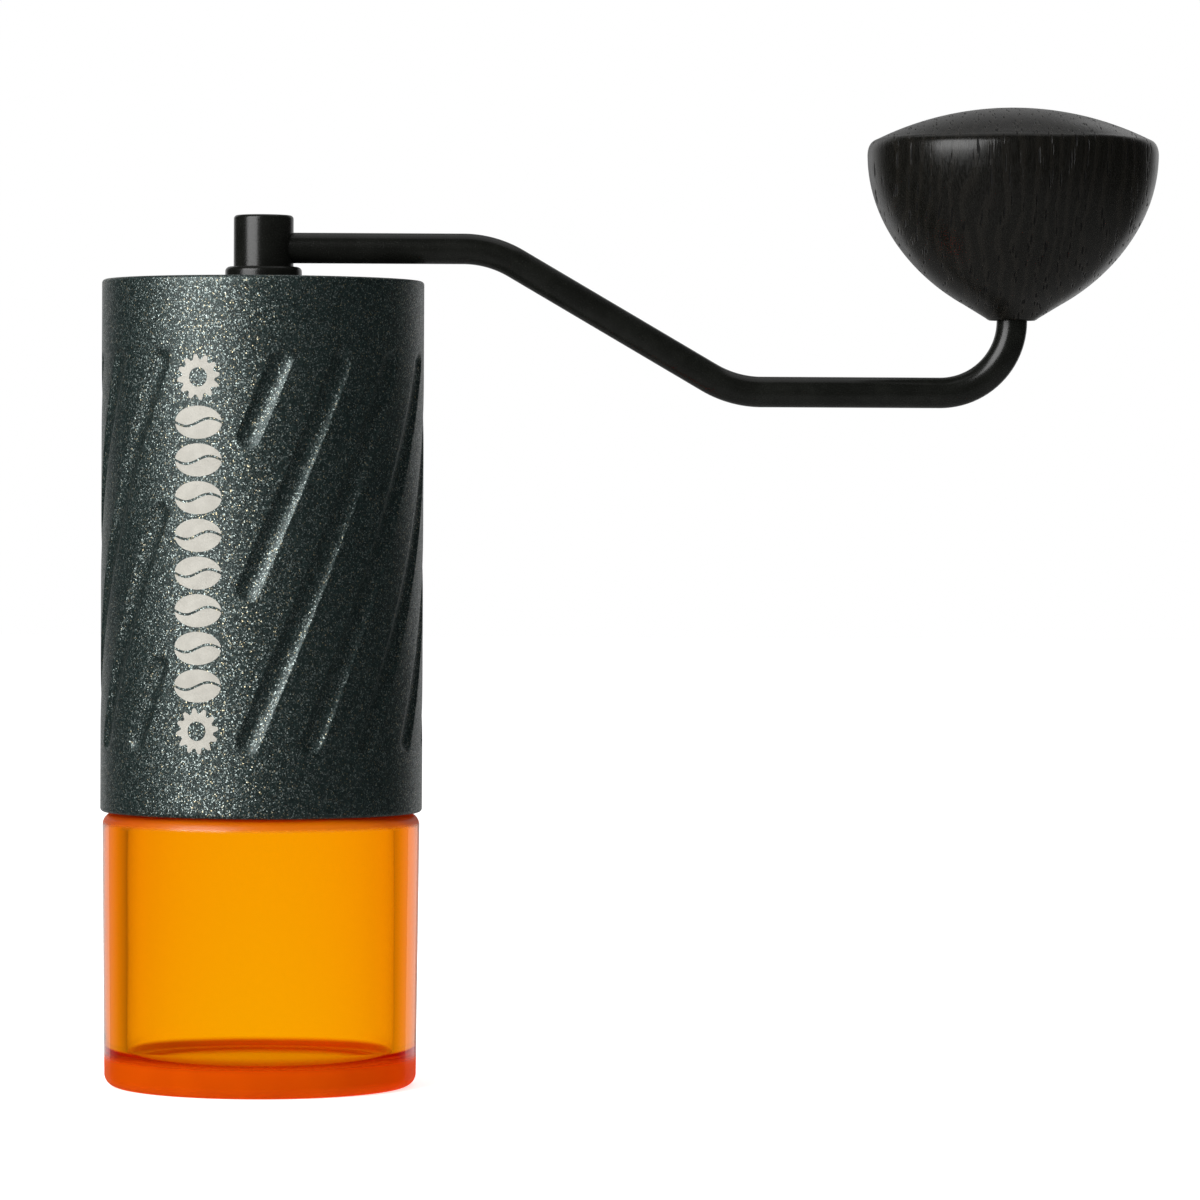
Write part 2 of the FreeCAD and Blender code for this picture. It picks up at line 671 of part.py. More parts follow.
def lid_seal():
    body = ring(LINER_R_HIGH - 0.12, LID_SKIRT_R - 0.7, *LID_SEAL_Z)
    rims = [e for e in body.Edges if abs(e.Length - 2 * math.pi * (LINER_R_HIGH - 0.12)) < 0.01]
    return body.makeFillet(0.4, rims)


def lid_bush():
    top, collar_low = BUSH_COLLAR_TOP_Z, LID_TOP_Z
    bore = HUB_R + RUNNING_FIT
    round_ = 0.8
    return revolve([
        line(at(bore, BUSH_BOTTOM_Z), at(BUSH_R, BUSH_BOTTOM_Z)),
        line(at(BUSH_R, BUSH_BOTTOM_Z), at(BUSH_R, collar_low)),
        line(at(BUSH_R, collar_low), at(BUSH_COLLAR_R, collar_low)),
        line(at(BUSH_COLLAR_R, collar_low), at(BUSH_COLLAR_R, top - round_)),
        corner(at(BUSH_COLLAR_R - round_, top - round_), round_, 0, 90),
        line(at(BUSH_COLLAR_R - round_, top), at(bore, top)),
        line(at(bore, top), at(bore, BUSH_BOTTOM_Z)),
    ])


# ---- crank -----------------------------------------------------------------------------------


def crank_hub():
    low, high = HUB_Z
    body = disc(HUB_R, low, high)
    top_rim = [e for e in body.Edges if len(e.Vertexes) == 1 and abs(e.CenterOfMass.z - high) < 0.01]
    body = body.makeFillet(HUB_EDGE_ROUND, top_rim)
    body = body.cut(hex_bar(HUB_SOCKET_HEX, low - 1, AXLE_HEX_TOP_Z + 0.1))
    cross_hole = Part.makeCylinder(ARM_R, 20, Vector(HUB_BLIND_X, 0, ARM_HIGH_Z), Vector(1, 0, 0))
    body = body.cut(cross_hole)
    body = body.cut(disc(SET_SCREW_R, ARM_HIGH_Z, high + 1))
    return body.cut(ring(HUB_R + 1, HUB_R - CLIP_DEPTH, *HUB_CLIP_Z))


def arc_through_bend(before, at_corner, after, radius):
    """The two tangent points and the middle point of a round bend between two straight runs."""
    back, ahead = (before - at_corner).normalize(), (after - at_corner).normalize()
    half = back.getAngle(ahead) / 2.0
    reach = radius / math.tan(half)
    centre = at_corner + (back + ahead).normalize() * (radius / math.sin(half))
    middle = centre + (at_corner - centre).normalize() * radius
    return at_corner + back * reach, middle, at_corner + ahead * reach


def crank_arm():
    """A round bar: out of the hub, down over two bends, along, and up into the knob."""
    corners = [
        Vector(HUB_BLIND_X, 0, ARM_HIGH_Z), Vector(ARM_BEND_X[0], 0, ARM_HIGH_Z),
        Vector(ARM_BEND_X[1], 0, ARM_LOW_Z), Vector(KNOB_X, 0, ARM_LOW_Z),
        Vector(KNOB_X, 0, ARM_TOP_Z),
    ]
    radii = [ARM_BEND_R, ARM_BEND_R, ARM_END_BEND_R]
    edges, here = [], corners[0]
    for k, radius in enumerate(radii, start=1):
        start, middle, end = arc_through_bend(corners[k - 1], corners[k], corners[k + 1], radius)
        edges += [line(here, start), arc(start, middle, end)]
        here = end
    edges.append(line(here, corners[-1]))
    section = Part.Wire([Part.makeCircle(ARM_R, corners[0], Vector(1, 0, 0))])
    bar = Part.Wire(edges).makePipeShell([section], True, True)
    return bar.cut(ring(ARM_R + 1, ARM_R - CLIP_DEPTH, *KNOB_CLIP_Z, KNOB_X))


def arm_set_screw():
    low, high = ARM_HIGH_Z + ARM_R, HUB_Z[1] - 0.4
    return disc(SET_SCREW_R, low, high).cut(hex_bar(2.0, high - 1.5, high + 1))


def hub_washer():
    return ring(HUB_WASHER_R, HUB_R + RUNNING_FIT, *HUB_WASHER_Z)


def hub_snap_ring():
    return snap_ring(HUB_R + 1.1, HUB_R - CLIP_DEPTH, *HUB_CLIP_Z)


# ---- knob ------------------------------------------------------------------------------------


def bowl_radius(z):
    """The knob's radius below its widest level."""
    t = (KNOB_WIDEST_Z - z) / KNOB_BOWL_DEPTH
    return KNOB_R * (1 - t * t) ** (2 / 3.0)


def dome_height(r):
    """The height of the knob's domed top at a radius."""
    return KNOB_APEX_Z - KNOB_DOME_R + math.sqrt(KNOB_DOME_R ** 2 - r * r)


def knob():
    bowl_height = KNOB_WIDEST_Z - KNOB_FOOT_Z
    levels = [KNOB_FOOT_Z + bowl_height * (k / 12.0) ** 1.5 for k in range(13)]
    bowl = Part.BSplineCurve()
    bowl.interpolate([at(bowl_radius(z), z) for z in levels])
    foot = at(bowl_radius(KNOB_FOOT_Z), KNOB_FOOT_Z)
    rim = at(KNOB_RIM_R, dome_height(KNOB_RIM_R))
    shell = revolve([
        line(at(0, KNOB_BOTTOM_Z), at(KNOB_FOOT_R, KNOB_BOTTOM_Z)),
        line(at(KNOB_FOOT_R, KNOB_BOTTOM_Z), foot),
        bowl.toShape(),
        arc(at(KNOB_R, KNOB_WIDEST_Z), at(*KNOB_RIDGE), rim),
        arc(rim, at(KNOB_RIM_R / 2.0, dome_height(KNOB_RIM_R / 2.0)), at(0, KNOB_APEX_Z)),
        line(at(0, KNOB_APEX_Z), at(0, KNOB_BOTTOM_Z)),
    ], KNOB_X)
    return shell.cut(disc(KNOB_BORE_R, KNOB_BOTTOM_Z - 1, KNOB_BORE_TOP_Z, KNOB_X))


def knob_bush():
    return ring(KNOB_BORE_R, ARM_R + RUNNING_FIT, KNOB_BOTTOM_Z + 0.2, KNOB_BUSH_TOP_Z, KNOB_X)


def knob_snap_ring():
    return snap_ring(KNOB_BORE_R - 0.2, ARM_R - CLIP_DEPTH, *KNOB_CLIP_Z, x=KNOB_X)


# ---- export ----------------------------------------------------------------------------------

NODES = {
    "outer_sleeve": outer_sleeve,
    "hopper_liner": hopper_liner,
    "upper_frame": upper_frame,
    "frame_snap_ring": frame_snap_ring,
    "lower_frame": lower_frame,
    "frame_screws": frame_screws,
    "upper_outer_race": lambda: outer_race(UPPER_BEARING_Z),
    "upper_bearing_shields": lambda: bearing_shields(UPPER_BEARING_Z),
    "upper_inner_race": lambda: inner_race(UPPER_BEARING_Z),
    "upper_balls": lambda: bearing_balls(UPPER_BEARING_Z),
    "upper_ball_cage": lambda: ball_cage(UPPER_BEARING_Z),
    "lower_outer_race": lambda: outer_race(LOWER_BEARING_Z),
    "lower_bearing_shields": lambda: bearing_shields(LOWER_BEARING_Z),
    "lower_inner_race": lambda: inner_race(LOWER_BEARING_Z),
    "lower_balls": lambda: bearing_balls(LOWER_BEARING_Z),
    "lower_ball_cage": lambda: ball_cage(LOWER_BEARING_Z),
    "burr_carrier": burr_carrier,
    "outer_burr": outer_burr,
    "burr_snap_ring": burr_snap_ring,
    "inner_burr": inner_burr,
    "burr_spring": burr_spring,
    "detent_plate": detent_plate,
    "adjusting_dial": adjusting_dial,
    "detent_balls": detent_balls,
    "detent_springs": detent_springs,
    "axle": axle,
    "axle_spacer": axle_spacer,
    "axle_snap_ring": axle_snap_ring,
    "thrust_washer": thrust_washer,
    "dial_stop_ring": dial_stop_ring,
    "jar_collar": jar_collar,
    "jar_seal": jar_seal,
    "catch_jar": catch_jar,
    "lid": lid,
    "lid_bush": lid_bush,
    "lid_seal": lid_seal,
    "crank_hub": crank_hub,
    "crank_arm": crank_arm,
    "arm_set_screw": arm_set_screw,
    "hub_washer": hub_washer,
    "hub_snap_ring": hub_snap_ring,
    "knob": knob,
    "knob_bush": knob_bush,
    "knob_snap_ring": knob_snap_ring,
}

os.makedirs("parts", exist_ok=True)
for name, make in NODES.items():
    shape = make()
    box = shape.BoundBox
    print(
        f"{name:24s} solids {len(shape.Solids)} valid {shape.isValid()} volume {shape.Volume:9.1f} "
        f"z {box.ZMin:7.2f} {box.ZMax:7.2f} x {box.XMin:7.2f} {box.XMax:7.2f}"
    )
    shape.exportStep(f"parts/{name}.step")
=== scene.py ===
import json
import math

import bmesh
import bpy
import numpy as np
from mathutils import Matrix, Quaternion, Vector


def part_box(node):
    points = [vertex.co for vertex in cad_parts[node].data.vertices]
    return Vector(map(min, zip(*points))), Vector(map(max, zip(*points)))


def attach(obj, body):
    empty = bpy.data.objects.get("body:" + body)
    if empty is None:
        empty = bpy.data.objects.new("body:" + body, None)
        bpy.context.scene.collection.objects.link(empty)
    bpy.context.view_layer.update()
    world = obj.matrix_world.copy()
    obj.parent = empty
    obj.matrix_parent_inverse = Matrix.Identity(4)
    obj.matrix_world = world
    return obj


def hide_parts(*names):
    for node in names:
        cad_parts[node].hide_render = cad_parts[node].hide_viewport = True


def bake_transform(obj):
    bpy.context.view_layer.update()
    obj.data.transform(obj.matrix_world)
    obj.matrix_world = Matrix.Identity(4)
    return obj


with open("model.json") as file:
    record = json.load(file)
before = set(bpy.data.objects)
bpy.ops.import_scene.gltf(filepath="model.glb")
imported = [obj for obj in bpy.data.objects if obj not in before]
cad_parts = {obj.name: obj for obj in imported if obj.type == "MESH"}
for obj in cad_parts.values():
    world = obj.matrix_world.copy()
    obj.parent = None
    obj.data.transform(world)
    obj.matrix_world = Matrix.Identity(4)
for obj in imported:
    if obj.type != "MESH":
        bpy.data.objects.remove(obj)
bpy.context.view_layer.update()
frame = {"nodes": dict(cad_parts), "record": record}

# Everything is in metres, in the CAD frame. MM turns millimetres into metres.
MM = 0.001
TURN = 2 * math.pi
SAME_PLACE = 1e-6  # distances under this, in metres, count as none

# ---- places and sizes read from the frame ----------------------------------------------------

SLEEVE_LOW, SLEEVE_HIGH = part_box("outer_sleeve")
SLEEVE_R = SLEEVE_HIGH.x
SLEEVE_BORE_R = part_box("hopper_liner")[1].x
JAR_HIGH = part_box("catch_jar")[1]
JAR_R = JAR_HIGH.x
LID_LOW, LID_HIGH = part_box("lid")
BUSH_LOW, BUSH_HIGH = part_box("lid_bush")
HUB_LOW, HUB_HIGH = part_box("crank_hub")
ARM_LOW, ARM_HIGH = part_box("crank_arm")
KNOB_LOW, KNOB_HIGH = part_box("knob")
KNOB_X = (KNOB_LOW.x + KNOB_HIGH.x) / 2
KNOB_R = (KNOB_HIGH.x - KNOB_LOW.x) / 2
SPRING_LOW, SPRING_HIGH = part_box("burr_spring")


# ---- mesh helpers ----------------------------------------------------------------------------


def new_object(name, vertices, faces, smooth_angle=35):
    """A mesh object with outward faces, smooth except across corners sharper than the angle."""
    mesh = bpy.data.meshes.new(name)
    mesh.from_pydata([tuple(v) for v in vertices], [], faces)
    work = bmesh.new()
    work.from_mesh(mesh)
    bmesh.ops.recalc_face_normals(work, faces=work.faces)
    work.to_mesh(mesh)
    work.free()
    mesh.shade_smooth()
    mesh.set_sharp_from_angle(angle=math.radians(smooth_angle))
    piece = bpy.data.objects.new(name, mesh)
    bpy.context.scene.collection.objects.link(piece)
    return piece


def finish_piece(piece, material, slot, body, *nodes):
    """Gives a piece its material and its body, and hides the CAD nodes it stands for. The slot is
    not used.
    """
    piece.data.materials.append(material)
    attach(piece, body)
    if nodes:
        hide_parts(*nodes)


def arc(r, z, radius, from_deg, to_deg, steps=6):
    """Profile points (r, z) of a round corner about a centre."""
    angles = np.radians(np.linspace(from_deg, to_deg, steps + 1))
    return [(r + radius * math.cos(a), z + radius * math.sin(a)) for a in angles]


def grid_faces(rows, columns, close_rows=True):
    """Quads between rows of points, each row a closed ring; the last row may meet the first."""
    faces = []
    for i in range(rows if close_rows else rows - 1):
        j = (i + 1) % rows
        for k in range(columns):
            m = (k + 1) % columns
            faces.append((i * columns + k, i * columns + m, j * columns + m, j * columns + k))
    return faces


def lathe(name, profile, segments, x=0.0, closed=True, smooth_angle=35):
    """A profile of (r, z) points spun about a vertical axis at x. Points with r = 0 are poles."""
    angles = np.linspace(0, TURN, segments, endpoint=False)
    vertices, rings = [], []
    for r, z in profile:
        if r < SAME_PLACE:
            rings.append([len(vertices)])
            vertices.append((x, 0, z))
        else:
            rings.append(list(range(len(vertices), len(vertices) + segments)))
            vertices += [(x + r * math.cos(a), r * math.sin(a), z) for a in angles]
    faces = []
    for low, high in zip(rings, rings[1:] + rings[:1] if closed else rings[1:]):
        for k in range(segments):
            m = (k + 1) % segments
            if len(low) == 1:
                faces.append((low[0], high[m], high[k]))
            elif len(high) == 1:
                faces.append((low[k], low[m], high[0]))
            else:
                faces.append((low[k], low[m], high[m], high[k]))
    return new_object(name, vertices, faces, smooth_angle)


# ---- material helpers ------------------------------------------------------------------------


def add_node(tree, kind, inputs=None, **settings):
    """A node with its settings made, and its inputs linked or given values."""
    node = tree.nodes.new(kind)
    for key, value in settings.items():
        setattr(node, key, value)
    for key, value in (inputs or {}).items():
        if isinstance(value, bpy.types.NodeSocket):
            tree.links.new(value, node.inputs[key])
        else:
            node.inputs[key].default_value = value
    return node


class Shader:
    """A node material, built one node at a time."""

    def __init__(self, name):
        self.material = bpy.data.materials.new(name)
        self.material.use_nodes = True
        self.tree = self.material.node_tree
        self.tree.nodes.clear()
        self.output = self.add("ShaderNodeOutputMaterial")
        self.coordinates = self.add("ShaderNodeTexCoord").outputs["Object"]

    def add(self, kind, inputs=None, **settings):
        return add_node(self.tree, kind, inputs, **settings)

    def noise(self, size_mm, detail=3.0, vector=None, roughness=0.55):
        return self.add("ShaderNodeTexNoise", {
            "Vector": vector or self.coordinates, "Scale": 1 / (size_mm * MM), "Detail": detail,
            "Roughness": roughness,
        }).outputs["Fac"]

    def cells(self, size, vector):
        return self.add("ShaderNodeTexVoronoi", {
            "Vector": vector, "Scale": 1 / size, "Randomness": 1.0,
        }).outputs

    def stretched(self, x=1.0, y=1.0, z=1.0):
        """The object's own coordinates, each axis shrunk so that features stretch along it."""
        return self.add("ShaderNodeMapping", {
            "Vector": self.coordinates, "Scale": (1 / x, 1 / y, 1 / z),
        }).outputs["Vector"]

    def axes(self):
        """The object's own x, y and z."""
        return self.add("ShaderNodeSeparateXYZ", {"Vector": self.coordinates}).outputs

    def span(self, value, low, high, to_low=0.0, to_high=1.0):
        """Smooth change from one value to another while the input goes from low to high."""
        return self.add("ShaderNodeMapRange", {
            "Value": value, "From Min": low, "From Max": high, "To Min": to_low, "To Max": to_high,
        }, interpolation_type="SMOOTHSTEP").outputs["Result"]

    def math(self, operation, a, b=0.0):
        return self.add("ShaderNodeMath", {0: a, 1: b}, operation=operation).outputs[0]

    def vector(self, operation, inputs):
        return self.add("ShaderNodeVectorMath", inputs, operation=operation).outputs["Vector"]

    def mix(self, factor, a, b):
        """Colour a where the factor is 0, colour b where it is 1."""
        a, b = (c if isinstance(c, bpy.types.NodeSocket) else (*c, 1.0) for c in (a, b))
        return self.add("ShaderNodeMix", {0: factor, 6: a, 7: b}, data_type="RGBA").outputs[2]

    def mix_shaders(self, factor, a, b):
        return self.add("ShaderNodeMixShader", {0: factor, 1: a, 2: b}).outputs[0]

    def bump(self, height, depth_mm, normal=None):
        inputs = {"Height": height, "Distance": depth_mm * MM, "Strength": 1.0}
        if normal:
            inputs["Normal"] = normal
        return self.add("ShaderNodeBump", inputs).outputs["Normal"]

    def bsdf(self, kind, colour):
        return self.add("ShaderNodeBsdf" + kind, {"Color": colour}).outputs[0]

    def principled(self, **inputs):
        return self.add("ShaderNodeBsdfPrincipled", {
            key.replace("_", " "): value for key, value in inputs.items()
        }).outputs["BSDF"]

    def done(self, surface, volume=None):
        self.tree.links.new(surface, self.output.inputs["Surface"])
        if volume:
            self.tree.links.new(volume, self.output.inputs["Volume"])
        return self.material


# ---- materials -------------------------------------------------------------------------------


def powder_coat():
    """Near-black green textured coat full of small metal flakes, each tilted its own way."""
    flake_size, flake_tilt, few_bright = 0.20 * MM, 0.42, 4.0
    s = Shader("powder_coat")
    cells = s.cells(flake_size, s.coordinates)
    parts = s.add("ShaderNodeSeparateColor", {"Color": cells["Color"]}).outputs
    flake = s.span(cells["Distance"], 0.40, 0.70, 1.0, 0.0)
    # a cell's random colour, with its middle taken off, is the direction its flake tips in
    tilt = s.vector("SUBTRACT", {0: cells["Color"], 1: (0.5, 0.5, 0.5)})
    tilt = s.vector("SCALE", {0: tilt, "Scale": flake_tilt})
    surface_normal = s.add("ShaderNodeNewGeometry").outputs["Normal"]
    tilted = s.vector("NORMALIZE", {0: s.vector("ADD", {0: surface_normal, 1: tilt})})
    tint = s.mix(s.span(parts["Green"], 0.80, 0.95), (0.30, 0.35, 0.335), (0.50, 0.43, 0.27))
    bright = s.math("POWER", parts["Blue"], few_bright)
    tint = s.mix(bright, (0.005, 0.0135, 0.0125), tint)
    grain = s.noise(0.5, 4.0)
    patches = s.span(s.noise(1.3, 3.0), 0.35, 0.65)
    base = s.mix(patches, (0.0030, 0.0088, 0.0083), (0.0052, 0.0124, 0.0116))
    coat = s.principled(
        Base_Color=base, Roughness=s.span(grain, 0.3, 0.7, 0.40, 0.56),
        Normal=s.bump(grain, 0.030), IOR=1.5, Specular_Tint=(0.80, 1.0, 0.97, 1),
    )
    metal_flake = s.principled(
        Base_Color=tint, Metallic=0.91, Roughness=0.44, Normal=tilted,
        Coat_Weight=0.66, Coat_Roughness=0.38,
    )
    return s.done(s.mix_shaders(flake, coat, metal_flake))


def label_ink():
    """Warm white print."""
    s = Shader("label_ink")
    grain = s.noise(0.35, 4.0)
    patches = s.span(s.noise(2.5, 3.0), 0.3, 0.7)
    colour = s.mix(patches, (0.255, 0.245, 0.215), (0.290, 0.280, 0.247))
    return s.done(s.principled(
        Base_Color=colour, Roughness=s.span(grain, 0.3, 0.7, 0.45, 0.6),
        Normal=s.bump(grain, 0.012),
    ))


def orange_polymer():
    """Clear polymer whose colour comes from its thickness, as light crosses it, with a painted glow
    at the foot and shoulder.
    """
    # heights and depths where the painted glow goes: the foot, the outer wall just above it, and
    # the shoulder
    foot = (3.0 * MM, 4.3 * MM)
    painted_glow_wall_heights = (4.0 * MM, 6.0 * MM)
    painted_glow_depths = (JAR_R - 0.8 * MM, JAR_R - 0.4 * MM)
    shoulder = (42.5 * MM, 43.3 * MM)
    shoulder_scuff = (42.0 * MM, 43.4 * MM)
    s = Shader("orange_polymer")
    flow = s.noise(9.0, 2.0, s.stretched(1, 1, 3))
    x, y, z = s.axes()
    radius = s.math("SQRT", s.math("ADD", s.math("MULTIPLY", x, x), s.math("MULTIPLY", y, y)))
    scuff = s.math("ADD", s.span(s.noise(1.6, 5.0, roughness=0.7), 0.45, 0.75, 0.02, 0.06),
                   s.span(z, *shoulder_scuff, 0.0, 0.30))
    clear = s.principled(
        Base_Color=(1, 1, 1, 1), Transmission_Weight=1.0, IOR=1.54, Roughness=scuff,
        Specular_IOR_Level=0.26, Normal=s.bump(flow, 0.02),
    )
    # painted glow: the underside, the outer wall near the foot and the shoulder get a matt, bright
    # orange share whose colour stands in for the light the thick polymer gathers there
    painted_glow_colour = s.mix(s.span(flow, 0.3, 0.7), (0.53, 0.082, 0.001), (0.58, 0.094, 0.001))
    painted_glow = s.mix_shaders(0.5, s.bsdf("Diffuse", painted_glow_colour), s.bsdf("Translucent", painted_glow_colour))
    # skin and share are the masks of the painted glow: near the outer wall low down, on the
    # underside and on the shoulder
    skin = s.math("MULTIPLY", s.span(radius, *painted_glow_depths), s.span(z, *painted_glow_wall_heights, 0.88, 0.0))
    share = s.math("MAXIMUM", s.span(z, *foot, 0.88, 0.0), s.span(z, *shoulder, 0.0, 0.60))
    body = s.mix_shaders(s.math("MAXIMUM", share, skin), clear, painted_glow)
    # shadow rays pass straight through, tinted, so that the jar throws a light shadow
    shadow = s.add("ShaderNodeLightPath").outputs["Is Shadow Ray"]
    surface = s.mix_shaders(shadow, body, s.bsdf("Transparent", (1.0, 0.50, 0.10, 1)))
    volume = s.add("ShaderNodeVolumeAbsorption", {
        "Color": (0.9978, 0.9147, 0.0, 1), "Density": 1500.0,
    }).outputs[0]
    return s.done(surface, volume)


def dark_wood():
    """Oak stained black: rings almost flat across X, open pores running up the grain."""
    ring_width = 2.1 * MM
    s = Shader("dark_wood")
    sway = s.math("MULTIPLY", s.noise(16.0, 2.0, s.stretched(1, 1, 2.5)), 5.0)
    ring = s.math("FRACT", s.math("ADD", s.math("MULTIPLY", s.axes()["X"], 1 / ring_width), sway))
    early = s.math("MULTIPLY", s.span(ring, 0.0, 0.12), s.span(ring, 0.30, 0.62, 1.0, 0.0))
    pore = s.span(s.cells(MM, s.stretched(0.42, 2.2, 5.0))["Distance"], 0.16, 0.42, 1.0, 0.0)
    pore = s.math("MULTIPLY", pore, s.span(early, 0.20, 0.7, 0.08, 1.0))
    fibre = s.noise(0.22, 4.0, s.stretched(1, 1, 14))
    colour = s.mix(s.span(fibre, 0.3, 0.7), (0.0024, 0.0023, 0.0018), (0.0044, 0.0042, 0.0034))
    colour = s.mix(s.math("MULTIPLY", early, 0.35), colour, (0.0100, 0.0088, 0.0070))
    colour = s.mix(pore, colour, (0.0005, 0.0005, 0.0005))
    rough = s.span(fibre, 0.3, 0.7, 0.20, 0.32)
    return s.done(s.principled(
        Base_Color=colour, Roughness=s.math("ADD", rough, s.math("MULTIPLY", pore, 0.35)),
        Normal=s.bump(fibre, 0.004, s.bump(s.math("MULTIPLY", pore, -1.0), 0.10)),
        Specular_IOR_Level=0.27,
    ))


def black_steel():
    """Satin black coated bar and turned parts."""
    s = Shader("black_steel")
    grain = s.noise(0.22, 4.0)
    wear = s.span(s.noise(5.0, 4.0), 0.35, 0.65)
    colour = s.mix(wear, (0.0034, 0.0037, 0.0030), (0.0056, 0.0060, 0.0050))
    return s.done(s.principled(
        Base_Color=colour, Roughness=s.span(grain, 0.3, 0.7, 0.20, 0.28),
        Normal=s.bump(grain, 0.005), Specular_IOR_Level=0.30,
    ))


def black_plastic(name="black_plastic", shade=0.006):
    """Moulded plastic with a fine spark-eroded texture."""
    s = Shader(name)
    grain = s.noise(0.16, 3.0)
    colour = s.mix(s.span(s.noise(3.0, 3.0), 0.3, 0.7), (shade,) * 3, (shade * 1.5,) * 3)
    return s.done(s.principled(
        Base_Color=colour, Roughness=s.span(grain, 0.3, 0.7, 0.42, 0.58),
        Normal=s.bump(grain, 0.014),
    ))


def metal(name, colour, roughness, lines_mm=0.05, depth_mm=0.002):
    """Bare metal with fine machining lines that run round the part."""
    s = Shader(name)
    lines = s.noise(lines_mm, 3.0, s.stretched(20, 20, 1))
    stain = s.noise(4.0, 3.0)
    dark = tuple(c * 0.86 for c in colour)
    return s.done(s.principled(
        Base_Color=s.mix(s.span(stain, 0.35, 0.65), dark, colour), Metallic=1.0,
        Roughness=s.span(lines, 0.3, 0.7, roughness * 0.8, roughness * 1.25),
        Normal=s.bump(lines, depth_mm),
    ))


def silicone():
    """Soft black rubber of the seals."""
    s = Shader("silicone")
    grain = s.noise(0.3, 3.0)
    colour = s.mix(s.span(grain, 0.3, 0.7), (0.012, 0.012, 0.012), (0.020, 0.020, 0.020))
    return s.done(s.principled(Base_Color=colour, Roughness=0.6, Normal=s.bump(grain, 0.01)))


def floor_paint():
    """White floor, glowing a little so that it stays as pale far away as it is near by."""
    s = Shader("floor_paint")
    tone = s.noise(180.0, 2.0)
    colour = s.mix(s.span(tone, 0.3, 0.7), (0.93, 0.93, 0.93), (0.95, 0.95, 0.95))
    return s.done(s.principled(
        Base_Color=colour, Roughness=0.9, Specular_IOR_Level=0.0,
        Emission_Color=(1, 1, 1, 1), Emission_Strength=0.62,
    ))


SLOT_MATERIALS = {
    "powder_coat_aluminium": powder_coat(),
    "orange_polymer": orange_polymer(),
    "dark_wood": dark_wood(),
    "black_steel": black_steel(),
    "black_plastic": black_plastic(),
    "frame_plastic": black_plastic("frame_plastic", 0.028),
    "liner_aluminium": metal("liner_aluminium", (0.62, 0.63, 0.64), 0.34),
    "stainless": metal("stainless", (0.56, 0.56, 0.55), 0.26),
    "bearing_steel": metal("bearing_steel", (0.66, 0.66, 0.66), 0.12),
    "burr_steel": metal("burr_steel", (0.50, 0.49, 0.48), 0.30, 0.08, 0.004),
    "bush_brass": metal("bush_brass", (0.62, 0.44, 0.20), 0.28),
    "silicone": silicone(),
}


def dress_cad_nodes():
    """Every CAD node gets the node material of its slot."""
    slots = {s["node"]: s["material_slot"] for s in frame["record"]["subparts"]}
    for name, piece in frame["nodes"].items():
        piece.data.materials.clear()
        piece.data.materials.append(SLOT_MATERIALS[slots[name]])


# ---- the sleeve ------------------------------------------------------------------------------

GROOVES = 16
GROOVE_DEPTH = 0.65 * MM
GROOVE_CUTTER_R = 3.0 * MM
GROOVE_CUTTER_USED = 0.98 * GROOVE_CUTTER_R  # the ball's side is followed out to here
GROOVE_TWIST = math.radians(0.922) / MM
GROOVE_LOW_Z = 57.0 * MM
GROOVE_HIGH_Z = 117.8 * MM
GROOVE_PHASE = math.radians(-1.5)
GROOVE_SOFTNESS = 0.07 * MM
# softening an edge leaves a little depth far from the groove; this far under, it is taken off
GROOVE_SOFT_REACH = 2.0 * MM
# the grooves that stop short round the label, as runs of height
PANEL_GROOVES = {
    15: [(81.4 * MM, GROOVE_HIGH_Z)],
    14: [(GROOVE_LOW_Z, 68.9 * MM), (105.8 * MM, GROOVE_HIGH_Z)],
    13: [(GROOVE_LOW_Z, 93.3 * MM)],
}
# columns of points on each side of a groove's centre line, in millimetres, close at its edge
COLUMNS_FROM_GROOVE = (
    0.0, 0.45, 0.9, 1.3, 1.6, 1.8, 1.95, 2.08, 2.22, 2.4, 2.65, 3.0, 3.6, 4.3,
)
# rows of points: this many, so far to each side of a groove's end, and coarser ones between
END_ROWS, END_REACH = 23, 2.64 * MM
ROW_STEP, ROW_CLEARANCE = 1.1 * MM, 0.45 * MM


def groove_runs(k):
    return PANEL_GROOVES.get(k, [(GROOVE_LOW_Z, GROOVE_HIGH_Z)])


def groove_cut(distance):
    """How deep the ball cutter goes at a distance from a groove's centre line, with a soft edge."""
    d = np.minimum(distance, GROOVE_CUTTER_USED)
    raw = GROOVE_DEPTH - (GROOVE_CUTTER_R - np.sqrt(GROOVE_CUTTER_R ** 2 - d ** 2))
    raw = raw - (distance - d)
    left_over = GROOVE_SOFTNESS ** 2 / (4 * GROOVE_SOFT_REACH)
    return 0.5 * (raw + np.sqrt(raw ** 2 + GROOVE_SOFTNESS ** 2)) - left_over


def sleeve_columns():
    """Angles of the columns of points, before the sleeve's twist."""
    pitch = TURN / GROOVES
    offsets = sorted({s * v * MM / SLEEVE_R for v in COLUMNS_FROM_GROOVE for s in (-1, 1)})
    offsets.append(pitch / 2)
    return np.array([pitch * k + o for k in range(GROOVES) for o in offsets])


def sleeve_rows(low, high):
    """Row heights: fine round every groove end, coarser between."""
    ends = {z for k in range(GROOVES) for run in groove_runs(k) for z in run}
    near_end = np.linspace(-END_REACH, END_REACH, END_ROWS)
    fine = {round(e + s, 7) for e in ends for s in near_end}
    coarse = {round(z, 7) for z in np.arange(low + 1.2 * MM, high - 0.5 * MM, ROW_STEP)}
    coarse = {z for z in coarse if all(abs(z - f) > ROW_CLEARANCE for f in fine)}
    return np.array([low] + sorted(fine | coarse) + [high])


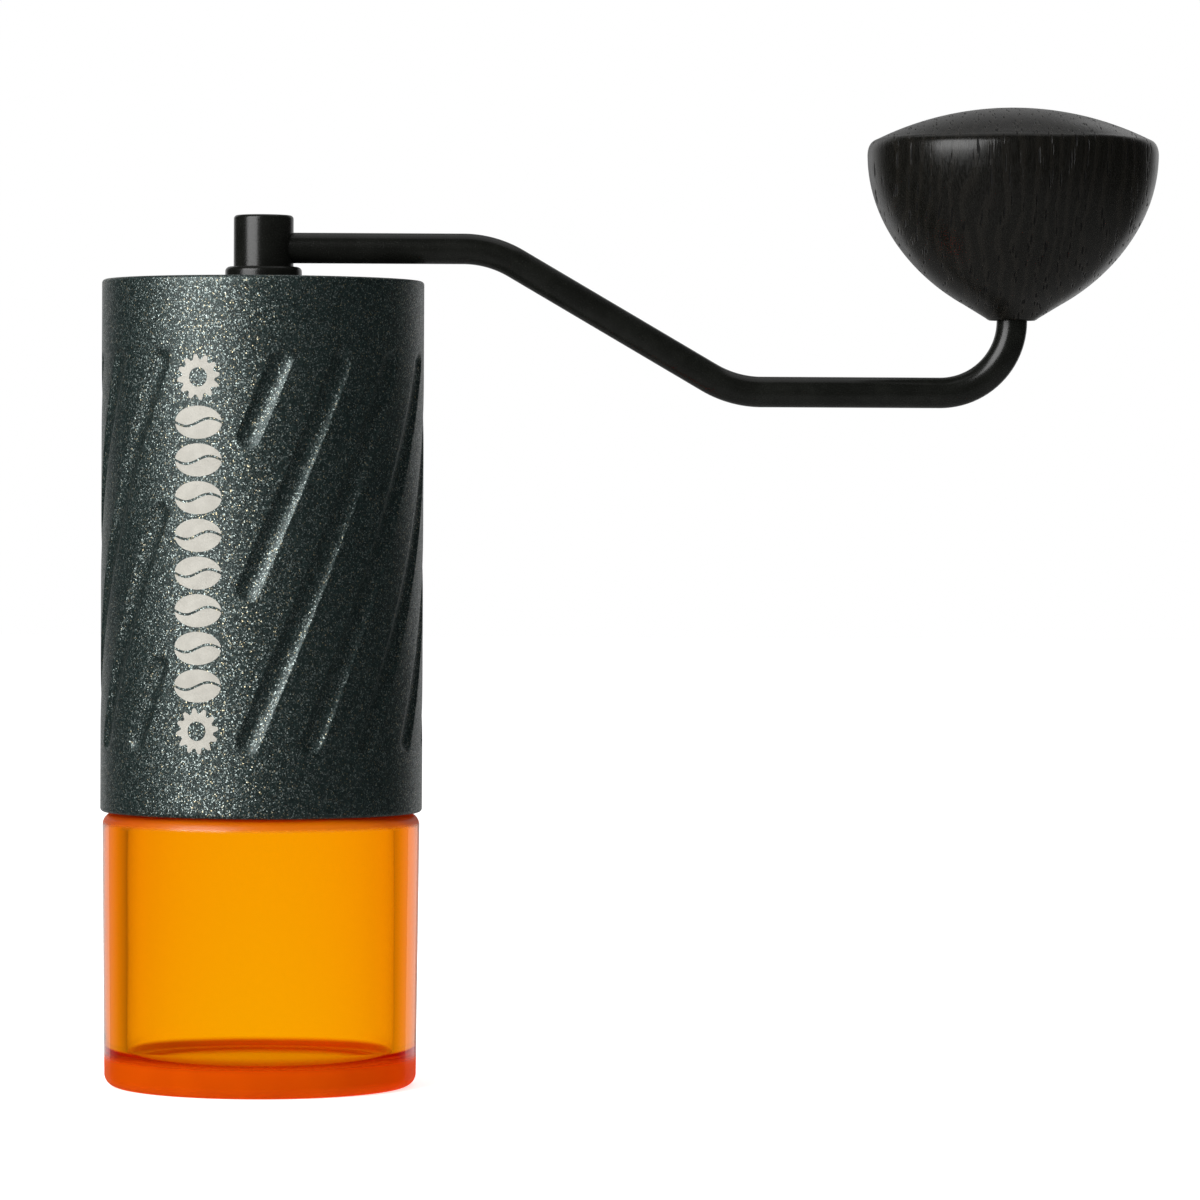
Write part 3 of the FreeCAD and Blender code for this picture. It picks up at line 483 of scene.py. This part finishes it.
def groove_displacement(angles, z):
    """How far the surface sits under the sleeve's cylinder at each angle from the front."""
    cut = np.zeros_like(angles)
    slope = SLEEVE_R * GROOVE_TWIST
    length = math.hypot(1.0, slope)
    for k in range(GROOVES):
        centre = GROOVE_PHASE + TURN * k / GROOVES + GROOVE_TWIST * (z - GROOVE_LOW_Z)
        # across is measured level; along and aside are measured in the groove's own direction
        across = ((angles - centre + math.pi) % TURN - math.pi) * SLEEVE_R
        along = across * slope / length
        aside = np.abs(across) / length
        for low, high in groove_runs(k):
            before = (low - z) * length - along
            after = along - (high - z) * length
            beyond = np.maximum(np.maximum(before, after), 0.0)
            cut = np.maximum(cut, groove_cut(np.hypot(aside, beyond)))
    return cut


def build_sleeve():
    """One closed skin: the grooved outside, both rounded ends, the lid's seat and the bore."""
    edge, inner_edge = 0.6 * MM, 0.25 * MM
    seat_r, seat_z = 24.75 * MM, LID_LOW.z + 5.2 * MM
    low, high = SLEEVE_LOW.z, SLEEVE_HIGH.z
    columns = sleeve_columns()

    def angles_at(z):
        return columns + GROOVE_PHASE + GROOVE_TWIST * (z - GROOVE_LOW_Z)

    rows = [(SLEEVE_R - groove_displacement(angles_at(z), z), z)
            for z in sleeve_rows(low + edge, high - edge)]
    profile = arc(SLEEVE_R - edge, high - edge, edge, 0, 90)[1:]
    profile += arc(seat_r + inner_edge, high - inner_edge, inner_edge, 90, 180, 4)
    profile += [(seat_r, seat_z), (SLEEVE_BORE_R, seat_z)]
    profile += [(SLEEVE_BORE_R, low + inner_edge), (SLEEVE_BORE_R + inner_edge, low)]
    profile += arc(SLEEVE_R - edge, low + edge, edge, -90, 0)[:-1]
    rows += [(np.full(len(columns), r), z) for r, z in profile]
    vertices = []
    for radii, z in rows:
        angles = angles_at(z)
        vertices += zip(radii * np.sin(angles), -radii * np.cos(angles), np.full(len(columns), z))
    sleeve = new_object("sleeve_shell", vertices, grid_faces(len(rows), len(columns)), 50)
    material = SLOT_MATERIALS["powder_coat_aluminium"]
    finish_piece(sleeve, material, "powder_coat_aluminium", "housing", "outer_sleeve")


# ---- the printed label: a column of coffee beans between two burr rings ----------------------

LABEL_ANGLE = math.radians(-19.9)
LABEL_HALF_WIDTH = 4.05 * MM
LABEL_LOW_Z = 63.0 * MM
LABEL_HIGH_Z = 111.0 * MM
INK = 0.03 * MM
BEANS = 8
BEAN_HEIGHT = 0.44  # half a bean's height, as a share of the distance between beans
BEAN_WIDTH = 0.995  # as a share of the label's width
BEAN_BLUNTNESS = 0.985  # how much of the ellipse is used; 1 would end the bean in a point
CREASE_GAP = 0.42 * MM
CREASE_SWING = 0.62 * MM
THINNEST_INK = 0.02 * MM
RING_TEETH = 12
RING_STEPS = 96
RING_BORE_R = 1.55 * MM
RING_R = 3.25 * MM
RING_TOOTH = 0.42 * MM
RING_TOOTH_SQUARENESS = 3.0
RING_FROM_BEANS = 4.2 * MM


def wrapped(across, z, lift):
    """A point of the label: so far round from its centre line, at a height, over the sleeve."""
    angle = LABEL_ANGLE + across / SLEEVE_R
    r = SLEEVE_R + lift
    return (r * math.sin(angle), -r * math.cos(angle), z)


def slab(outline_pairs):
    """A thin solid on the sleeve between pairs of (across, z) points, one edge to the other."""
    vertices, faces = [], []
    for first, second in outline_pairs:
        for lift in (INK, -INK):
            vertices += [wrapped(*first, lift), wrapped(*second, lift)]
    for k in range(len(outline_pairs) - 1):
        a, b = 4 * k, 4 * k + 4
        faces += [(a, a + 1, b + 1, b), (a + 3, a + 2, b + 2, b + 3)]
        faces += [(a, b, b + 2, a + 2), (a + 1, a + 3, b + 3, b + 1)]
    last = 4 * (len(outline_pairs) - 1)
    faces += [(0, 2, 3, 1), (last, last + 1, last + 3, last + 2)]
    return vertices, faces


def bean_halves(centre_z, half_height):
    """The two halves of a coffee bean lying across the label, parted by its S-shaped crease."""
    upper, lower = [], []
    for t in np.linspace(-1, 1, 33):
        across = LABEL_HALF_WIDTH * BEAN_WIDTH * t
        rim = half_height * math.sqrt(1 - (BEAN_BLUNTNESS * t) ** 2)
        middle = CREASE_SWING * math.sin(math.pi * t)
        inside = rim - THINNEST_INK
        upper_edge = min(max(middle + CREASE_GAP / 2, -inside), inside)
        lower_edge = max(min(middle - CREASE_GAP / 2, inside), -inside)
        upper.append(((across, centre_z + upper_edge), (across, centre_z + rim)))
        lower.append(((across, centre_z - rim), (across, centre_z + lower_edge)))
    return [slab(upper), slab(lower)]


def burr_ring(centre_z):
    """A toothed ring, seen face on."""
    pairs = []
    for k in range(RING_STEPS + 1):
        a = TURN * k / RING_STEPS
        tooth = math.tanh(RING_TOOTH_SQUARENESS * math.sin(RING_TEETH * a))
        outer = RING_R + RING_TOOTH * tooth
        pairs.append((
            (RING_BORE_R * math.cos(a), centre_z + RING_BORE_R * math.sin(a)),
            (outer * math.cos(a), centre_z + outer * math.sin(a)),
        ))
    return [slab(pairs)]


def build_label():
    pitch = (LABEL_HIGH_Z - LABEL_LOW_Z) / BEANS
    shapes = []
    for k in range(BEANS):
        shapes += bean_halves(LABEL_LOW_Z + pitch * (k + 0.5), pitch * BEAN_HEIGHT)
    shapes += burr_ring(LABEL_LOW_Z - RING_FROM_BEANS) + burr_ring(LABEL_HIGH_Z + RING_FROM_BEANS)
    vertices, faces = [], []
    for part_vertices, part_faces in shapes:
        start = len(vertices)
        vertices += part_vertices
        faces += [tuple(start + i for i in face) for face in part_faces]
    label = new_object("label_print", vertices, faces, 30)
    finish_piece(label, label_ink(), "powder_coat_aluminium", "housing")


# ---- the jar ---------------------------------------------------------------------------------

THREAD_PITCH = 3.0 * MM
THREAD_START_Z = 47.9 * MM
THREAD_TURNS = 1.6
THREAD_RUN_IN = 1 / 14  # the part of a turn over which each end of the thread rises
THREAD_HEIGHT = 0.75 * MM
THREAD_BASE_HALF = 0.95 * MM
THREAD_CREST_HALF = 0.45 * MM


def thread_height(angle, z):
    """How far the jar's thread stands out of its neck at an angle from +X and a height."""
    share = 0.0
    for t in (angle / TURN, angle / TURN + 1):
        if t <= THREAD_TURNS:
            off = abs(z - THREAD_START_Z - THREAD_PITCH * t)
            rise = (THREAD_BASE_HALF - off) / (THREAD_BASE_HALF - THREAD_CREST_HALF)
            run_in = min(t, THREAD_TURNS - t) / THREAD_RUN_IN
            share = max(share, min(1.0, max(0.0, rise)) * min(1.0, run_in))
    return THREAD_HEIGHT * share


def build_jar():
    """One closed surface: rounded base, drafted wall, round shoulder, threaded neck, plain bore."""
    base_round, shoulder_round, inner_round = 2.0 * MM, 2.0 * MM, 2.2 * MM
    neck_round, lip = 0.3 * MM, 0.35 * MM
    r_low, r_neck, r_bore = 25.45 * MM, 22.6 * MM, 21.75 * MM
    shoulder_z, floor_z, top = 44.65 * MM, 4.3 * MM, JAR_HIGH.z
    neck_low, neck_high, neck_step = shoulder_z + 0.5 * MM, top - lip - 0.05 * MM, 0.13 * MM
    wall_shares = np.linspace(0, 1, 12)[1:-1]
    wall_height = shoulder_z - shoulder_round - base_round
    bore_depth = floor_z + inner_round - top + lip

    profile = [(0.0, 0.0), (r_low * 0.5, 0.0)]
    profile += arc(r_low - base_round, base_round, base_round, -90, 0, 12)
    profile += [(r_low + (JAR_R - r_low) * t, base_round + wall_height * t) for t in wall_shares]
    profile += arc(JAR_R - shoulder_round, shoulder_z - shoulder_round, shoulder_round, 0, 90, 12)
    profile.append((r_neck + neck_round, shoulder_z))
    profile += arc(r_neck + neck_round, shoulder_z + neck_round, neck_round, -90, -180, 3)[1:]
    profile += [(r_neck, z) for z in np.arange(neck_low, neck_high, neck_step)]
    profile += arc(r_neck - lip, top - lip, lip, 0, 90, 4)
    profile += arc(r_bore + lip, top - lip, lip, 90, 180, 4)
    profile += [(r_bore, top - lip + bore_depth * t) for t in wall_shares]
    profile += arc(r_bore - inner_round, floor_z + inner_round, inner_round, 0, -90, 12)
    profile += [(r_bore * 0.5, floor_z), (0.0, floor_z)]

    jar = lathe("catch_jar_shell", profile, 256, closed=False, smooth_angle=50)
    for vertex in jar.data.vertices:
        x, y, z = vertex.co
        r = math.hypot(x, y)
        if abs(r - r_neck) < SAME_PLACE and neck_low - SAME_PLACE < z < top - lip:
            out = (r + thread_height(math.atan2(y, x) % TURN, z)) / r
            vertex.co.x, vertex.co.y = x * out, y * out
    finish_piece(jar, SLOT_MATERIALS["orange_polymer"], "orange_polymer", "jar", "catch_jar")


# ---- lid, bush and crank ---------------------------------------------------------------------

BUSH_SEAT_R = 6.0 * MM


def build_lid():
    """A flange with a skirt that holds the seal, and a boss for the bush in the middle."""
    rim_round, skirt_round = 0.9 * MM, 0.3 * MM
    lid_r, top, foot = LID_HIGH.x, LID_HIGH.z, LID_LOW.z + 0.3 * MM
    flange_z, web_z = LID_LOW.z + 5.35 * MM, top - 2.2 * MM
    boss_r, skirt_out, skirt_in = 8.0 * MM, 22.7 * MM, 20.9 * MM
    seal_r, seal_low, seal_high = 22.0 * MM, 125.9 * MM, 127.3 * MM
    profile = [(BUSH_SEAT_R, top)]
    profile += arc(lid_r - rim_round, top - rim_round, rim_round, 90, 0, 8)
    profile += [(lid_r, flange_z), (skirt_out, flange_z), (skirt_out, seal_high)]
    profile += [(seal_r, seal_high), (seal_r, seal_low), (skirt_out, seal_low)]
    profile += arc(skirt_out - skirt_round, foot + skirt_round, skirt_round, 0, -90, 3)
    profile += arc(skirt_in + skirt_round, foot + skirt_round, skirt_round, -90, -180, 3)
    profile += [(skirt_in, web_z), (boss_r, web_z), (boss_r, LID_LOW.z), (BUSH_SEAT_R, LID_LOW.z)]
    lid = lathe("lid_shell", profile, 192)
    finish_piece(lid, SLOT_MATERIALS["black_plastic"], "black_plastic", "lid", "lid")


def build_bush():
    """The bush in the lid, with the round collar that shows under the hub."""
    collar_round, chamfer, running_gap = 0.8 * MM, 0.1 * MM, 0.05 * MM
    collar_r, collar_top, bore = BUSH_HIGH.x, BUSH_HIGH.z, HUB_HIGH.x + running_gap
    profile = [(bore, BUSH_LOW.z), (BUSH_SEAT_R, BUSH_LOW.z)]
    profile += [(BUSH_SEAT_R, LID_HIGH.z), (collar_r, LID_HIGH.z)]
    profile += arc(collar_r - collar_round, collar_top - collar_round, collar_round, 0, 90, 8)
    profile += [(bore + chamfer, collar_top), (bore, collar_top - chamfer)]
    bush = lathe("lid_bush_shell", profile, 96)
    finish_piece(bush, SLOT_MATERIALS["black_steel"], "black_steel", "lid", "lid_bush")


def build_hub():
    """Turned, with the snap ring's groove; the hexagon socket and the screw hole are open."""
    r, low, high = HUB_HIGH.x, HUB_LOW.z, HUB_HIGH.z
    edge = 0.6 * MM
    screw_r, screw_depth, screw_chamfer = 2.0 * MM, 3.0 * MM, 0.15 * MM
    slot_r, slot_low, slot_high = r - 0.45 * MM, 122.85 * MM, 123.45 * MM
    socket_flats, socket_z = 5.95 * MM, 133.1 * MM
    hex_r = socket_flats / math.sqrt(3)
    segments = 96
    profile = [(hex_r, low), (r, low), (r, slot_low), (slot_r, slot_low)]
    profile += [(slot_r, slot_high), (r, slot_high)]
    profile += arc(r - edge, high - edge, edge, 0, 90, 6)
    profile += [(screw_r + screw_chamfer, high), (screw_r, high - screw_chamfer)]
    profile += [(screw_r, high - screw_depth), (0.0, high - screw_depth)]
    hub = lathe("crank_hub_shell", profile, segments, closed=False)

    work = bmesh.new()
    work.from_mesh(hub.data)
    # the first ring, round the socket's mouth, is pulled in to a hexagon and taken up inside
    mouth = [
        v for v in work.verts
        if abs(v.co.z - low) < SAME_PLACE and math.hypot(v.co.x, v.co.y) < hex_r + SAME_PLACE
    ]
    mouth.sort(key=lambda v: math.atan2(v.co.y, v.co.x) % TURN)
    for v in mouth:
        a = math.atan2(v.co.y, v.co.x)
        from_flat = a % (math.pi / 3) - math.pi / 6
        flat_r = hex_r * math.cos(math.pi / 6) / math.cos(from_flat)
        v.co.x, v.co.y = flat_r * math.cos(a), flat_r * math.sin(a)
    end = [work.verts.new((v.co.x, v.co.y, socket_z)) for v in mouth]
    for k in range(segments):
        m = (k + 1) % segments
        work.faces.new((mouth[k], mouth[m], end[m], end[k]))
    work.faces.new(end)
    bmesh.ops.recalc_face_normals(work, faces=work.faces)
    work.to_mesh(hub.data)
    work.free()
    hub.data.set_sharp_from_angle(angle=math.radians(35))
    finish_piece(hub, SLOT_MATERIALS["black_steel"], "black_steel", "crank", "crank_hub")


ARM_BEND_X = (37.2 * MM, 76.8 * MM)
ARM_BEND_R = 17.0 * MM
ARM_END_BEND_R = 11.7 * MM


def bend_points(before, at_corner, after, radius, steps):
    """Points round a bend between two straight runs."""
    back, ahead = (before - at_corner).normalized(), (after - at_corner).normalized()
    half = back.angle(ahead) / 2
    centre = at_corner + (back + ahead).normalized() * (radius / math.sin(half))
    first = (at_corner + back * (radius / math.tan(half)) - centre).normalized()
    last = (at_corner + ahead * (radius / math.tan(half)) - centre).normalized()
    return [centre + first.slerp(last, k / steps) * radius for k in range(steps + 1)]


def build_arm():
    """The bent bar, swept with a round section along its bends and up into the knob."""
    r = ARM_HIGH.y
    above_hub_middle, into_hub = 4.45 * MM, 1.5 * MM
    ring_slot_low, ring_slot_high, ring_slot_depth = 147.4 * MM, 148.1 * MM, 0.4 * MM
    chamfer = 0.3 * MM
    sides = 48
    high_z = (HUB_LOW.z + HUB_HIGH.z) / 2 + above_hub_middle
    low_z = ARM_LOW.z + r
    corners = [
        Vector((HUB_HIGH.x - into_hub, 0, high_z)), Vector((ARM_BEND_X[0], 0, high_z)),
        Vector((ARM_BEND_X[1], 0, low_z)), Vector((KNOB_X, 0, low_z)),
        Vector((KNOB_X, 0, ARM_HIGH.z)),
    ]
    path = [corners[0]]
    for k, radius in enumerate((ARM_BEND_R, ARM_BEND_R, ARM_END_BEND_R), start=1):
        path += bend_points(corners[k - 1], corners[k], corners[k + 1], radius, 24)
    upright_from = len(path) - 1
    radii = [r] * len(path)
    # the pin in the knob, with its snap ring's groove and its chamfered end
    for z, radius in (
        (ring_slot_low, r), (ring_slot_low, r - ring_slot_depth),
        (ring_slot_high, r - ring_slot_depth), (ring_slot_high, r),
        (ARM_HIGH.z - chamfer, r), (ARM_HIGH.z, r - chamfer),
    ):
        path.append(Vector((KNOB_X, 0, z)))
        radii.append(radius)
    side = Vector((0, 1, 0))
    vertices = []
    for k, point in enumerate(path):
        if k < upright_from:
            along = path[k + 1] - path[max(k - 1, 0)]
        else:
            along = Vector((0, 0, 1))
        across = side.cross(along).normalized()
        for a in np.linspace(0, TURN, sides, endpoint=False):
            vertices.append(point + (side * math.cos(a) + across * math.sin(a)) * radii[k])
    faces = grid_faces(len(path), sides, close_rows=False)
    faces += [tuple(range(sides)), tuple(range((len(path) - 1) * sides, len(path) * sides))]
    arm = new_object("crank_arm_bar", vertices, faces, 30)
    finish_piece(arm, SLOT_MATERIALS["black_steel"], "black_steel", "crank", "crank_arm")


# ---- the burr spring -------------------------------------------------------------------------


def build_spring():
    """A round-wire coil from the burr up to the washer above, where the CAD spring stands."""
    wire_r, turns, steps, sides = 0.45 * MM, 4.5, 216, 12
    mean_r = SPRING_HIGH.x - wire_r
    low, high = SPRING_LOW.z + wire_r, SPRING_HIGH.z - wire_r
    rise = (high - low) / (TURN * turns * mean_r)
    vertices = []
    for t in np.linspace(0, 1, steps + 1):
        a = TURN * turns * t
        radial = Vector((math.cos(a), math.sin(a), 0))
        up = radial.cross(Vector((-math.sin(a), math.cos(a), rise))).normalized()
        centre = radial * mean_r + Vector((0, 0, low + (high - low) * t))
        for b in np.linspace(0, TURN, sides, endpoint=False):
            vertices.append(centre + (radial * math.cos(b) + up * math.sin(b)) * wire_r)
    faces = grid_faces(steps + 1, sides, close_rows=False)
    faces += [tuple(range(sides)), tuple(range(steps * sides, (steps + 1) * sides))]
    spring = new_object("burr_spring_coil", vertices, faces, 50)
    spring.data.materials.append(SLOT_MATERIALS["stainless"])
    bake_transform(spring)
    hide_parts("burr_spring")


# ---- the knob --------------------------------------------------------------------------------


def build_knob():
    """One turned piece of wood: a bowl below, a shallow dome above and a soft ridge between."""
    widest_z, bowl_depth, bowl_power = 152.6 * MM, 27.2 * MM, 2 / 3
    dome_r, rim_r = 50.0 * MM, 22.3 * MM
    ridge_r, ridge_z = 23.32 * MM, 154.15 * MM
    bore_r, bore_top, chamfer = 3.6 * MM, 150.5 * MM, 0.2 * MM
    foot_z, apex = KNOB_LOW.z, KNOB_HIGH.z
    bowl_from = foot_z + 2.6 * MM

    def bowl(z):
        t = (widest_z - z) / bowl_depth
        return KNOB_R * (1 - t * t) ** bowl_power

    def dome(r):
        return apex - dome_r + math.sqrt(dome_r ** 2 - r * r)

    profile = [(0.0, bore_top), (bore_r, bore_top), (bore_r, foot_z + chamfer)]
    profile += [(bore_r + chamfer, foot_z)]
    # the small round of the foot
    profile += [(3.7 * MM, foot_z), (4.0 * MM, foot_z + 0.12 * MM), (4.3 * MM, foot_z + 0.35 * MM)]
    for t in np.linspace(0, 1, 60):
        z = bowl_from + (widest_z - bowl_from) * t ** 1.4  # rows closer where it flares most
        profile.append((bowl(z), z))
    # a quadratic curve from the widest level, through the ridge, to the dome
    rim_z = dome(rim_r)
    control_r = 2 * ridge_r - (KNOB_R + rim_r) / 2
    control_z = 2 * ridge_z - (widest_z + rim_z) / 2
    for t in np.linspace(0, 1, 12)[1:]:
        start, middle, end = (1 - t) ** 2, 2 * t * (1 - t), t * t
        profile.append((
            start * KNOB_R + middle * control_r + end * rim_r,
            start * widest_z + middle * control_z + end * rim_z,
        ))
    profile += [(rim_r * t, dome(rim_r * t)) for t in np.linspace(1, 0, 30)[1:]]
    knob = lathe("knob_turned", profile, 256, KNOB_X, closed=False, smooth_angle=45)
    finish_piece(knob, SLOT_MATERIALS["dark_wood"], "dark_wood", "knob", "knob")


# ---- stage, lights and camera ----------------------------------------------------------------

FLOOR_HALF = 3.0
FLOOR_Z = -0.02 * MM

LIGHTS_AIM = (0.05, 0, 0.09)
# azimuth and elevation in degrees, distance, width and height in metres, power in watts
SOFTBOXES = {
    "key": (-45, 24, 0.85, (0.64, 0.62), 10.0),
    "top": (180, 76, 1.1, (1.0, 1.0), 2.1),
    "left_back": (-152, 8, 1.0, (0.45, 1.0), 0.5),
    "right_back": (152, 8, 1.0, (0.45, 1.0), 0.5),
}

FILL_LIGHT = 0.40
# how bright the studio looks against one part of a direction: start, end, brightness at each
MIRRORED_BEHIND = (0.52, 1.0, 0.010, 0.38)
MIRRORED_BELOW = (-0.10, -0.75, 0.0, 0.22)
SEEN_THROUGH = (0.42, 0.98, 0.26, 1.10)

# slightly above the middle of the grinder, far off, square on to the crank
CAMERA_EYE = Vector((55.2, -953.0, 96.7)) * MM
CAMERA_AIM = Vector((55.2, 0.0, 79.6)) * MM
CAMERA_ROLL = math.radians(0.3)
CAMERA_LENS_MM = 175.0
CAMERA_SENSOR_MM = 36.0


def build_stage():
    h = FLOOR_HALF
    floor = new_object("floor", [(-h, -h, 0), (h, -h, 0), (h, h, 0), (-h, h, 0)], [(0, 1, 2, 3)])
    floor.location.z = FLOOR_Z
    floor.data.materials.append(floor_paint())
    floor.visible_glossy = False
    floor.visible_transmission = False


def softbox(name, azimuth, elevation, distance, size, power):
    """An area light aimed at the object. Azimuth is from the front, positive to the right."""
    a, e = math.radians(azimuth), math.radians(elevation)
    data = bpy.data.lights.new(name, "AREA")
    data.shape = "RECTANGLE"
    data.size, data.size_y = size
    data.energy = power
    light = bpy.data.objects.new(name, data)
    bpy.context.scene.collection.objects.link(light)
    away = Vector((math.sin(a) * math.cos(e), -math.cos(a) * math.cos(e), math.sin(e)))
    light.location = Vector(LIGHTS_AIM) + away * distance
    light.rotation_mode = "QUATERNION"
    light.rotation_quaternion = away.to_track_quat("Z", "Y")
    light.visible_transmission = False


def build_world():
    """White all round, but softer as fill light, and dark in front for what surfaces mirror."""
    world = bpy.data.worlds.new("studio")
    bpy.context.scene.world = world
    world.use_nodes = True
    tree = world.node_tree
    tree.nodes.clear()
    direction = add_node(tree, "ShaderNodeTexCoord").outputs["Generated"]
    behind = add_node(tree, "ShaderNodeSeparateXYZ", {0: direction}).outputs["Y"]
    height = add_node(tree, "ShaderNodeSeparateXYZ", {0: direction}).outputs["Z"]

    def ramp(value, limits):
        names = ("Value", "From Min", "From Max", "To Min", "To Max")
        inputs = dict(zip(names, (value, *limits)))
        ramped = add_node(tree, "ShaderNodeMapRange", inputs, interpolation_type="SMOOTHSTEP")
        return ramped.outputs["Result"]

    def white(strength):
        inputs = {"Color": (1, 1, 1, 1), "Strength": strength}
        return add_node(tree, "ShaderNodeBackground", inputs).outputs[0]

    mirrored = {0: ramp(behind, MIRRORED_BEHIND), 1: ramp(height, MIRRORED_BELOW)}
    mirrored = add_node(tree, "ShaderNodeMath", mirrored, operation="MAXIMUM").outputs[0]
    shown = white(1.0)
    # light that has come through a clear piece counts as mirrored too, so it is mixed in last
    for ray, seen in (
        ("Is Diffuse Ray", white(FILL_LIGHT)),
        ("Is Glossy Ray", white(mirrored)),
        ("Is Transmission Ray", white(ramp(behind, SEEN_THROUGH))),
    ):
        is_ray = add_node(tree, "ShaderNodeLightPath").outputs[ray]
        shown = add_node(tree, "ShaderNodeMixShader", {0: is_ray, 1: shown, 2: seen}).outputs[0]
    add_node(tree, "ShaderNodeOutputWorld", {"Surface": shown})


def build_camera():
    data = bpy.data.cameras.new("camera")
    data.lens = CAMERA_LENS_MM
    data.sensor_width = CAMERA_SENSOR_MM
    data.clip_start, data.clip_end = 0.05, 20.0
    camera = bpy.data.objects.new("camera", data)
    bpy.context.scene.collection.objects.link(camera)
    camera.location = CAMERA_EYE
    camera.rotation_mode = "QUATERNION"
    look = (CAMERA_AIM - CAMERA_EYE).to_track_quat("-Z", "Y")
    camera.rotation_quaternion = look @ Quaternion((0, 0, 1), CAMERA_ROLL)
    bpy.context.scene.camera = camera


dress_cad_nodes()
build_sleeve()
build_label()
build_jar()
build_lid()
build_bush()
build_hub()
build_arm()
build_spring()
build_knob()
build_stage()
build_world()
for light_name, light_values in SOFTBOXES.items():
    softbox(light_name, *light_values)
build_camera()
bpy.context.scene.view_settings.view_transform = "Standard"
